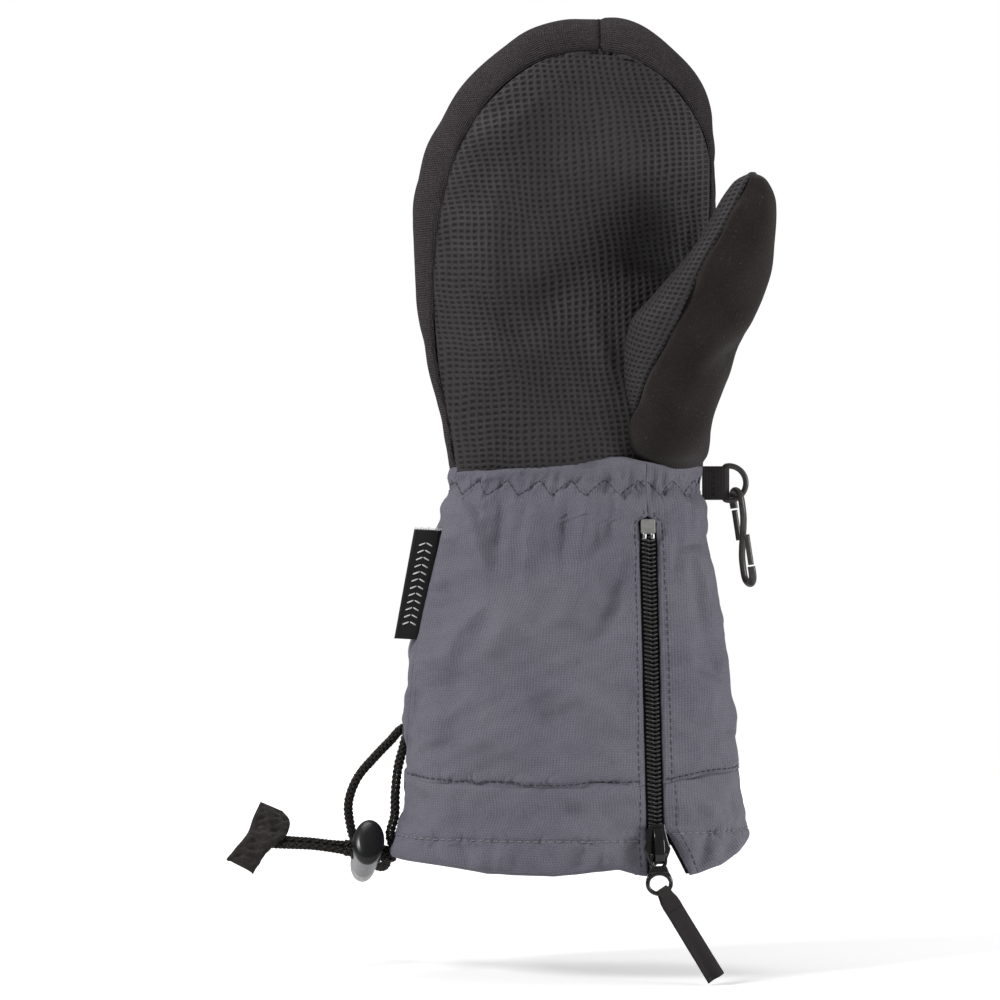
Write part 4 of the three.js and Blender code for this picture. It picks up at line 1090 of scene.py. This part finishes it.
def build_inner_layers():
    """Membrane, insulation and linings of the hand, the thumb and the cuff, and the elastic."""
    full = 2 * math.pi
    hand = (("membrane_insert", 6.6, 0.4, "film", 0, full), ("hand_lining", 11.4, 0.8, "lining", 0, full),
            ("palm_insulation", 7.4, 3.2, "down", math.pi + 0.02, full - 0.02),
            ("down_baffle", 7.4, 3.2, "down", 0.02, math.pi - 0.02))
    thumb = (("thumb_insulation", 4.0, 2.6, "down"), ("thumb_lining", 7.2, 0.7, "lining"))
    cuff_layers = (("cuff_lining", 14, 146, 60, 5.4, 0.7, "lining"),
                   ("wrist_elastic", 133, 142.5, 8, 3.6, 0.8, "elastic"))
    for name, inset, thick, look, start, end in hand:
        sheet(name + "_look", hand_form(50, 64, inset, start, end), thick, look, "mitten")
    for name, inset, thick, look in thumb:
        grid = thumb_form(36, 32, inset)
        sheet(name + "_look", grid, thick, look, THUMB_BEND, [name + "_base", name + "_tip"])
    angle = np.linspace(0, full, 120)[None]
    for name, low, high, rows, inset, thick, look in cuff_layers:
        z = np.linspace(low, high, rows)[:, None]
        grid = cuff_point(angle + 0 * z, z + 0 * angle)
        sheet(name + "_look", grid - normals(grid) * inset, thick, look, "mitten")


# ---- Local axes ----


class Axes:
    """Axes of one piece of hardware; calling it takes points from those axes to the mitten's."""

    def __init__(self, origin, x, y):
        self.origin = np.array(origin, float)
        self.x = unit(np.array(x, float))
        self.z = unit(np.cross(self.x, y))
        self.y = np.cross(self.z, self.x)

    def __call__(self, points):
        p = np.asarray(points, float)
        return self.origin + p[..., :1] * self.x + p[..., 1:2] * self.y + p[..., 2:3] * self.z


ZIP_AXES = ((0.974, 0.228, 0.003), (-0.227, 0.971, -0.077))
ZIP = Axes((30.0, -31.37, 0.0), *ZIP_AXES)
SLIDER = Axes((29.897, -31.03, 4.985), *ZIP_AXES)
PULL = Axes((30.624, -34.18, 8.546), *ZIP_AXES)
RIBBON_X = (0.824, 0.234, 0.516)
RIBBON = Axes((32.945, -34.725, -5.478), RIBBON_X, np.cross((-0.519, -0.054, 0.853), RIBBON_X))
LOCK = Axes((-74.8, -1, 6.6), (0.984, 0.09, -0.147), (-0.16, 0.795, -0.585))
TAB = Axes((-110.39, -1, 11.35), (0.994, 0, -0.107), (-0.064, 0.802, -0.594))
HOOK = Axes((60.9, 0, 135.64), (0.355, -0.933, 0.054), (0.923, 0.359, 0.139))
EYE_Z = -10.6
ZIP_TOP = 121.5
COIL_PITCH = 1.54


# ---- Zip ----


def build_zip():
    """Both halves of the zip: the coil, its core cord, the tape and the crimp at the top, and the stop."""
    for side, low, name in ((-1, 1.2, "front"), (1, 9.4, "thumb")):
        turns = (ZIP_TOP - low) / COIL_PITCH
        t = np.arange(0, turns * 2 * math.pi, math.pi / 5)
        height = low + COIL_PITCH * (t / (2 * math.pi) + (0.5 if side > 0 else 0))
        path = np.stack([side * (1.02 + 1.32 * np.cos(t)), 0.1 + 0.72 * np.sin(t), height], 1)
        tube(f"zip_coil_{name}", ZIP(path), 0.34, "coil", "mitten", 6, None, [f"zip_teeth_{name}"])
        core = ZIP(resample([[side * 1.3, 0.1, low], [side * 1.3, 0.1, ZIP_TOP]], 12))
        tube(f"zip_core_cord_{name}", core, 0.42, "tape", "mitten", 8)
        z = np.linspace(1.2, 130.5, 120)[:, None]
        open_end = 1 if side > 0 else 0
        inner = 0.15 + open_end * 2.35 * np.clip((ZIP_OPEN_Z - z) / 5, 0, 1)
        x = side * (inner + (7.5 - inner) * np.linspace(0, 1, 10)[None, ::side])
        face = np.dstack([x + open_end * zip_flare(z), 1.25 + 0.012 * x**2 + 0 * z, z + 0 * x])
        sheet(f"zip_tape_{name}_look", ZIP(face), 0.45, "tape", "mitten")
        crimp = ZIP(resample([[side * 1.5, -0.1, ZIP_TOP - 0.2], [side * 1.5, -0.1, ZIP_TOP + 1.8]], 6))
        tube(f"zip_crimp_{name}", crimp, 0.85, "steel", "mitten", 10)
    points, faces = rounded_box((-2.7, -0.9, ZIP_TOP + 1.6), (2.7, 0.9, ZIP_TOP + 7.0), 0.8)
    finish("zip_top_stop_look", ZIP(points), faces, "stop", "mitten")


def zip_flare(z):
    """How far the flap beside the open end of the zip swings out."""
    return 9.5 * np.clip((ZIP_OPEN_Z - z) / ZIP_OPEN_Z, 0, 1) ** 0.85


def rounded_box(low, high, radius, steps=4):
    """The points and faces of a box with round edges, as a stretched ball."""
    low, high = np.array(low, float), np.array(high, float)
    half = (high - low) / 2
    radius = min(radius, *half)
    reach = half - radius
    rows, cols = 2 * steps + 2, 4 * steps + 4
    quarter, step = np.divmod(np.arange(cols), steps + 1)
    turn = (quarter + step / steps) * math.pi / 2
    sides = np.stack([np.where((quarter == 0) | (quarter == 3), 1, -1), np.where(quarter < 2, 1, -1)], 1)
    points = []
    for k in range(rows):
        up = -1 if k <= steps else 1
        polar = (k - steps - (up > 0)) * math.pi / 2 / steps
        flat = sides * reach[:2] + radius * math.cos(polar) * np.stack([np.cos(turn), np.sin(turn)], 1)
        points.append(np.column_stack([flat, np.full(cols, up * reach[2] + radius * math.sin(polar))]))
    return np.vstack(points) + (low + high) / 2, bar_faces(rows, cols)


def loft(rows, power=4.0, around=28):
    """A solid with rounded sections. Each row: z, half width, middle y, half depth, middle x."""
    px, py = rounded(circle(around), power)
    points = [(x0 + wide * a, y + deep * b, z) for z, wide, y, deep, x0 in rows for a, b in zip(px, py)]
    return np.array(points), bar_faces(len(rows), around)


def joined(solids):
    """Several solids as one run of points and faces."""
    points, faces, start = [], [], 0
    for p, f in solids:
        points.append(np.asarray(p))
        faces += [tuple(start + i for i in face) for face in f]
        start += len(p)
    return np.vstack(points), faces


def bar(path, radius, around=12):
    """The points and faces of a round bar along a path that keeps to the plane of x and z."""
    path = np.asarray(path, float)
    other = np.broadcast_to([0.0, 1.0, 0.0], path.shape)
    side = np.cross(other, unit(np.gradient(path, axis=0)))
    t = circle(around)[None, :, None]
    ring = path[:, None] + radius * (np.cos(t) * side[:, None] + np.sin(t) * other[:, None])
    return ring.reshape(-1, 3), bar_faces(len(path), around)


def build_slider():
    """The zip's slider: two plates and the post between them, side flanges and the bridge for the pull."""
    plan = [(0.0, 2.6), (0.2, 3.1), (1.6, 3.5), (4.4, 4.7), (5.4, 4.9), (6.6, 4.65), (9, 3.85), (12, 3.2),
            (13.9, 3.05), (14.2, 2.7)]
    arch = [(0.9, 1.4, -4.9, 0.5), (1.2, 1.7, -5.0, 0.8), (2, 1.8, -5.3, 0.8), (4, 1.8, -5.5, 0.7),
            (7, 1.8, -5.2, 0.72), (9.4, 1.8, -4.5, 0.9), (11.2, 1.75, -3.4, 1.0), (12.6, 1.6, -2.6, 0.75),
            (13.2, 1.3, -2.2, 0.4)]
    solids = [loft([(z, half, -1.9, 0.62, 0) for z, half in plan]),
              loft([(z, half * 0.9, 3.0, 0.5, 0) for z, half in plan]),
              loft([(*row, 0) for row in arch], 5.0),
              rounded_box((-1.7, -5.2, 0.8), (1.7, -2.1, 2.1), 0.4),
              rounded_box((-0.22, -2.0, 0.6), (0.22, 2.8, 3.4), 0.1)]
    solids += [rounded_box((x - 0.35, -1.7, 1.0), (x + 0.35, 1.1, 12.6), 0.3) for x in (-3.3, 3.3)]
    points, faces = joined(solids)
    finish("zip_slider_look", SLIDER(points), faces, "lacquer", "slider")


def build_pull():
    """The slider's pull: a loop round the bridge, a plate, and a ring whose eye holds the ribbon."""
    rod = bar(resample([[-3.0, 0, 0], [3.0, 0, 0]], 8), 0.68)
    bow = [(2.5 * math.cos(t), 0, -2.3 + 2.5 * math.sin(t)) for t in np.linspace(math.pi, 2 * math.pi, 15)]
    loop = bar(curve([(-2.55, 0, 0.1), (-2.5, 0, -1.6), *bow, (2.5, 0, -1.6), (2.55, 0, 0.1)], 60), 0.66)
    widths = [(-7.1, 3.7, 0.5), (-6.9, 3.9, 0.62), (-6.0, 3.6, 0.66), (-4.6, 3.1, 0.66), (-3.9, 2.6, 0.6)]
    plate = loft([(z, half, 0, deep, 0) for z, half, deep in widths], 5.0)
    slope = [(-9.4, 0.5, 0.5, 4.35), (-8.6, 0.72, 0.62, 4.1), (-6.6, 0.6, 0.62, 3.3)]
    shoulders = [loft([(z, half, 0, deep, side * x) for z, half, deep, x in slope]) for side in (-1, 1)]
    turn = np.linspace(0, 2 * math.pi, 61)
    eye = bar(np.stack([4.3 * np.cos(turn), 0 * turn, EYE_Z + 0.45 + 3.6 * np.sin(turn)], 1), 0.78)
    points, faces = joined([rod, loop, plate, *shoulders, eye])
    finish("zip_pull_look", PULL(points), faces, "lacquer", "pull")


def build_ribbon():
    """The zip pull's ribbon: a strip through the eye, folded back on itself and sewn."""
    half = [(0.75, -35.2), (0.8, -30), (0.95, -22), (0.85, -14), (0.85, -8), (1.15, -4.6), (1.75, -2.2),
            (1.9, 0.6)]
    widths = [(-36, 3.25), (-4.5, 3.25), (-2.4, 3.0), (-0.5, 2.4), (3, 2.0)]
    side = curve([(-y, z) for y, z in half] + [(-1.1, 2.2), (0, 2.7), (1.1, 2.2)] + half[::-1], 150)
    y, z = side[:, :1], side[:, 1:]
    wide = table_at(widths, z)
    x = wide * np.linspace(-1, 1, 11)
    hem = 0.16 * np.exp(-(((x + wide - 1.3) / 0.35) ** 2)) * np.sign(y)
    grid = np.dstack([x, y + hem + 0.02 * z * np.sin(x), z + 0 * x])
    sheet("pull_ribbon_look", RIBBON(grid), 0.6, "ribbon", "ribbon")
    for y, z in ((-1.02, -6.2), (-0.95, -33.2)):
        row = RIBBON(resample([[-2.6, y, z], [2.6, y, z]], 20))
        capsules(f"ribbon_stitch_{int(-z)}", stitch_ends(row, 1.3, 0.95), 0.13, "dark_thread", "ribbon")


# ---- Drawcord, lock and tab ----


def braided(name, path, radius, pitch=7.5, replaces=()):
    """A hollow braided cord: strands that wind both ways round a path and weave over and under."""
    side, other = carried(path)
    dist = run_of(path)
    verts, faces, around, count, strand = [], [], 6, 8, 0.42
    turn = circle(around)[None, :, None]
    for k in range(count):
        way = 1 if k % 2 else -1
        angle = way * 2 * math.pi * dist / pitch + 2 * math.pi * (k // 2) / (count / 2)
        over = 0.55 * strand * way * np.cos(count / 2 * angle)
        r = radius - strand + over
        line = path + r[:, None] * (np.cos(angle)[:, None] * side + np.sin(angle)[:, None] * other)
        out = unit(line - path)
        flank = np.cross(unit(np.gradient(line, axis=0)), out)
        section = 0.75 * np.cos(turn) * out[:, None] + 1.35 * np.sin(turn) * flank[:, None]
        faces += bar_faces(len(path), around, len(verts))
        verts.extend((line[:, None] + strand * section).reshape(-1, 3))
    finish(name, np.array(verts), faces, "cord", "mitten", replaces)


def build_drawcord():
    """The two strands of the drawcord: out of the casing, through the lock, and their tails to the tab."""
    inner = [(-58.4, 9, 49.6), (-60, 9.2, 48.2), (-61.6, 7, 43.5), (-63.2, 5, 37.5), (-64.4, 3, 27),
             (-64.6, 1, 19), (-66.2, 0, 12.5)]
    outer = [(-58.2, 10.5, 51.4), (-61.5, 10.2, 50.8), (-66.5, 9, 46), (-72.5, 8, 39.8), (-78.8, 8, 32),
             (-81.8, 9.6, 23.5), (-81.4, 13, 15), (-79, 17, 6.6), (-75.4, 18, 1.6), (-71.2, 15.5, -0.8),
             (-68.3, 9.5, 0.2), (-67.3, 3.5, 4)]
    for name, points, side in (("inner", inner, 1), ("outer", outer, -1)):
        bore = [LOCK([x, 0, side * 1.45]) for x in (9.5, 6, 0, -8)]
        braided(f"drawcord_{name}", curve(points + bore, 260), 1.72, replaces=["drawcord"])
        tail = [LOCK([-7.5, 0, side * 1.45])]
        for x in (14, 20, 27, 33, 35.5):
            y = 0.35 * math.sin(x / 4) + 2.4 * (x / 35) ** 2
            tail.append(LOCK([-x, y, side * (1.45 - 0.35 * math.sin(x / 35 * math.pi))]))
        braided(f"drawcord_tail_{name}", curve(tail, 150), 1.3, 12.0)
    t = circle(16)[:, None]
    eyelet = np.array([-60.9, 9.8, 49.4]) + np.cos(t) * [0.3, 3.0, 0] + np.sin(t) * [0, 0, 3.0]
    tube("cord_eyelet", curve(eyelet, 60, True), 0.7, "thread", "mitten", 10)


def oval_body(name, profile, half_x, half_z, look, body):
    """A part of the lock with oval sections. The profile: place along y, share of the full size."""
    side = curve(profile, 60)
    px, pz = rounded(circle(48), 2.0)
    y, share = side[:, :1], side[:, 1:]
    verts = np.stack([share * half_x * px, y + 0 * px, share * half_z * pz], -1).reshape(-1, 3)
    faces = [face[::-1] for face in bar_faces(len(side), 48)]
    finish(name, LOCK(verts), faces, look, body)


def build_lock():
    """The cord lock: a domed barrel with its sleeve, the plunger, and the rims of the cord's holes."""
    dome = [(-9.8, 0.06), (-9.7, 0.3), (-9.3, 0.58), (-8.5, 0.82), (-7.4, 0.96), (-6.2, 1.0),
            (-5.2, 0.985), (-4.7, 0.93), (-4.5, 0.8)]
    sleeve = [(-4.9, 0.7), (-4.8, 0.8), (-4.5, 0.87), (-3.9, 0.9), (-3, 0.9), (-1, 0.9), (2, 0.89),
              (4.5, 0.88), (5.8, 0.87), (6.5, 0.84), (6.9, 0.78), (7.05, 0.6)]
    plunger = [(-2.9, 0.6), (-2.7, 0.85), (-2.2, 0.97), (-1, 1.0), (2, 1.0), (6, 1.0), (8.4, 1.0),
               (9.8, 0.98), (10.7, 0.92), (11.3, 0.78), (11.5, 0.5), (11.55, 0.1)]
    oval_body("cord_lock_barrel_look", dome, 5.75, 9.1, "black", "lock_barrel")
    oval_body("cord_lock_sleeve", sleeve, 5.75, 9.1, "sleeve", "lock_barrel")
    oval_body("cord_lock_plunger_look", plunger, 4.75, 7.6, "grey", "lock_plunger")
    for side, name in ((-1, "out"), (1, "in")):
        rim = curve([(side * 4.95, 2.3 * math.cos(t), 3.6 * math.sin(t)) for t in circle(32)], 60, True)
        tube(f"cord_lock_eye_{name}", LOCK(rim), 0.5, "black", "lock_barrel", 8)


def build_tab():
    """The folded scrap of suede that ends the drawcord, crumpled over the two strands and stitched."""
    left = [(-5.1, 14.3, 0.3), (-7.0, 5.9, -0.6), (-7.9, 0, -1.0), (-11.7, -7.1, -0.5), (-14.3, -11.2, 0.6)]
    right = [(3.4, 11.6, 0.6), (6.6, 7.2, -0.4), (6.6, 1.6, -1.2), (0.7, -6.5, -1.2), (-3.9, -16.0, 0.3)]
    share = np.linspace(0, 1, 44)[None, :, None]
    flat = curve(left, 56)[:, None] * (1 - share) + curve(right, 56)[:, None] * share
    grid = np.dstack([flat[..., 0], flat[..., 2] - 1.9, flat[..., 1]])
    crumple = noise(grid, 7, 5) * 0.6 + noise(grid, 3.2, 6) * 0.42
    away = edge_distance(grid)
    grid[..., 1] -= crumple * np.clip(away / 3, 0.1, 1) - seam_roll(away, 0.7, 0.8)
    sheet("cord_end_tab_look", TAB(grid[::-1]), 2.2, "suede_tab", "end_tab")
    row = TAB(resample([[-2.6, -2.9, 10.6], [0.6, -3.0, 5.4], [1.4, -3.0, 0.4]], 40))
    capsules("tab_stitch", stitch_ends(row, 2.0, 1.3), 0.17, "dark_thread", "end_tab")


# ---- Wrist clip ----
RING_BAR_X = 56.2
RING_BOW_X = 57.9
RING_Z = 141.2
RING_R = 6.3


def build_strap():
    """The webbing loop: out from the seam, round the ring's bar and back."""
    run = [(48.2, -1.25), (50.5, -1.5), (53, -1.8)]
    turn = np.linspace(-math.pi / 2, math.pi / 2, 14)
    bend = [(RING_BAR_X + 1.95 * math.cos(a), 1.95 * math.sin(a)) for a in turn]
    path = curve(run + bend + [(x, -y) for x, y in run[::-1]], 90)
    z = np.linspace(-6.2, 6.2, 28)[:, None]
    edge = 0.12 * np.exp(-(((6.2 - np.abs(z)) / 0.5) ** 2))
    x, y = path[None, :, 0], path[None, :, 1]
    grid = np.dstack([x + 0 * z, y * (1 - edge), RING_Z + z + 0 * x])
    sheet("clip_strap_look", grid, 0.75, "webbing", "strap")
    for y, name in ((-1.85, "front"), (1.85, "back")):
        row = resample([[52.4, y, RING_Z - 5], [52.4, y, RING_Z + 5]], 30)
        capsules(f"strap_stitch_{name}", stitch_ends(row, 1.7, 1.2), 0.16, "dark_thread", "strap")


def build_ring():
    """The ring: a straight bar in the webbing's loop and a round bow."""
    bow = [(RING_BOW_X + RING_R * math.sin(a), RING_R * math.cos(a)) for a in np.linspace(0, math.pi, 17)]
    bar_x = RING_BAR_X
    corner = bar_x + 0.35
    run = [(bar_x, 0), (bar_x, 4.6), (corner, 5.9), *bow, (corner, -5.9), (bar_x, -4.6), (bar_x, -0.2)]
    path = curve([(x, 0, RING_Z + z) for x, z in run], 140)
    tube("clip_ring_look", path, 1.05, "clip", "ring", 16)


def build_hook():
    """The hook: a flattened S whose two ends stop short, and a straight gate across each gap."""
    half, top, foot = 3.6, -0.7, -28.1
    over = [(half * math.cos(a), top + half * math.sin(a)) for a in np.linspace(math.pi, 0, 13)]
    under = [(half * math.cos(a), foot + half * math.sin(a)) for a in np.linspace(math.pi, 2 * math.pi, 13)]
    spine = [(half, -3.5), (3.2, -7), (1.7, -11), (0, -14.5), (-1.7, -18), (-3.2, -22), (-half, -25.5)]
    run = [(-half, -3.6), *over, *spine, *under, (half, foot + 2.7)]
    path = curve([(x, 0, z) for x, z in run], 200)
    oval = lambda angle, dist: 0.14 * np.cos(2 * angle) + 0 * dist
    tube("clip_hook_look", HOOK(path), 1.3, "clip", "hook", 18, oval)
    for name, x, low in (("upper", -half, -15.4), ("lower", half, foot + 3.3)):
        tongue = HOOK(resample([[x, 0, low], [x, 0, low + 11.2]], 16))
        tube(f"clip_gate_{name}_look", tongue, 1.08, "clip", "gate_" + name, 14)


# ---- Label ----
LABEL_TOP = np.array([-46.4, -10.1, 124.0])
LABEL_FOOT = np.array([-54.7, -10.1, 84.2])


def label_point(share, across, deep):
    """A place on the label: its share up the root, millimetres out from the root, and depth."""
    root = LABEL_FOOT + (LABEL_TOP - LABEL_FOOT) * share[..., None]
    way = np.array([-0.985, 0, 0.05])
    sway = 0.35 * np.sin(share * 5 + across / 6) * across / 9
    tuck = 2.0 * np.exp(-across / 0.8)
    return root + across[..., None] * way + (deep + sway + tuck)[..., None] * np.array([0, 1.0, 0])


def build_label():
    """A folded woven tab in the side seam, with a plain woven pattern of chevrons and a frayed top."""
    wide = 9.9
    half = [(0, 0.42), (2, 0.5), (5, 0.55), (8, 0.5), (wide - 0.4, 0.4), (wide, 0.0)]
    out, deep = curve(half + [(a, -d) for a, d in half[-2::-1]], 60).T[:, None]
    share = np.linspace(0, 1, 60)[:, None] + 0 * out
    grid = label_point(share, out * (1 + 0.1 * share), deep + 0 * share)
    sheet("side_label_look", grid, 0.24, "satin", "label")
    strokes, fringe = [], []
    for place in np.linspace(0.13, 0.85, 12):
        for turn in (-1, 1):
            across = 5.4 + turn * np.array([2.5, 0.15])
            strokes.append(label_point(place + np.array([0.0, 0.028]), across, np.array([-0.56, -0.6])))
    for a in np.arange(0.4, 10.6, 0.55):
        share = np.array([0.992, 1.012 + 0.012 * RNG.random()])
        across = np.array([a, a + RNG.normal() * 0.15])
        fringe.append(label_point(share, across, np.array([-0.5, -0.35])))
    capsules("label_pattern", strokes, 0.27, "white_thread", "label")
    capsules("label_fringe", fringe, 0.16, "white_thread", "label")


# ---- Carried-over metal and hidden parts ----


def dress_frame_parts():
    """Materials for the frame's own parts that stay."""
    finishes = {"cord_lock_spring": "steel", "drawcord_inner_run": "cord", "drawcord_casing": "lining"}
    for name, material in finishes.items():
        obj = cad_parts[name]
        obj.data.materials.clear()
        obj.data.materials.append(MATERIAL[material])


# ---- Studio ----
VIEW_MIDDLE = (-25.9, -55.0, 135.0)  # the centre of the picture, from the frame's origin
VIEW_WIDTH = 360.0
FLOOR_Z = -38.0


def add_staged(name, data, place):
    """A lamp, camera or floor at a place in metres; it isn't part of the mitten."""
    obj = bpy.data.objects.new(name, data)
    obj.location = place
    bpy.context.scene.collection.objects.link(obj)
    return obj


def studio():
    """A pale floor in a white room, soft light from the front, above and both sides, and the camera."""
    scene = bpy.context.scene
    scene.world = white_room(0.22)
    lamp("key", (-1.05, -0.6, 1.0), 0.35, 13.5)
    lamp("side", (1.25, -0.4, 0.35), 0.5, 8.5)
    lamp("back", (-0.2, 0.25, 1.2), 0.6, 4)
    floor()
    camera = bpy.data.cameras.new("camera")
    camera.lens = 120
    camera.sensor_width = 36
    distance = VIEW_WIDTH * camera.lens / camera.sensor_width
    scene.camera = add_staged("camera", camera, (Vector(VIEW_MIDDLE) + Vector((0, -distance, 0))) * MM)
    scene.camera.rotation_euler = (math.pi / 2, 0, 0)
    scene.view_settings.view_transform = "Standard"


def white_room(light):
    """A world that lights the mitten softly and looks white to the camera."""
    world = bpy.data.worlds.new("studio")
    world.use_nodes = True
    tree = world.node_tree
    seen = tree.nodes.new("ShaderNodeLightPath").outputs["Is Camera Ray"]
    strength = tree.nodes.new("ShaderNodeMath")
    strength.operation = "MAXIMUM"
    strength.inputs[1].default_value = light
    tree.nodes["Background"].inputs[0].default_value = (1, 1, 1, 1)
    tree.links.new(seen, strength.inputs[0])
    tree.links.new(strength.outputs[0], tree.nodes["Background"].inputs[1])
    return world


def floor():
    """A round pale floor below the mitten."""
    rim = [(0.9 * math.cos(t), 0.9 * math.sin(t), 0) for t in circle(96)]
    mesh = bpy.data.meshes.new("floor")
    mesh.from_pydata(rim, [], [list(range(96))])
    mesh.materials.append(MATERIAL["floor"])
    add_staged("floor", mesh, (VIEW_MIDDLE[0] * MM, 0, FLOOR_Z * MM))


def lamp(name, place, size, power):
    """A square soft light that faces the mitten."""
    light = bpy.data.lights.new(name, "AREA")
    light.size = size
    light.energy = power
    way = Vector((0, -0.03, 0.14)) - Vector(place)
    add_staged(name, light, place).rotation_euler = way.to_track_quat("-Z", "Y").to_euler()


build_palm()
build_bands()
build_back()
build_thumb()
cuff = build_cuff()
build_cuff_stitches(cuff)
build_inner_layers()
build_zip()
build_slider()
build_pull()
build_ribbon()
build_drawcord()
build_lock()
build_tab()
build_strap()
build_ring()
build_hook()
build_label()
dress_frame_parts()
studio()
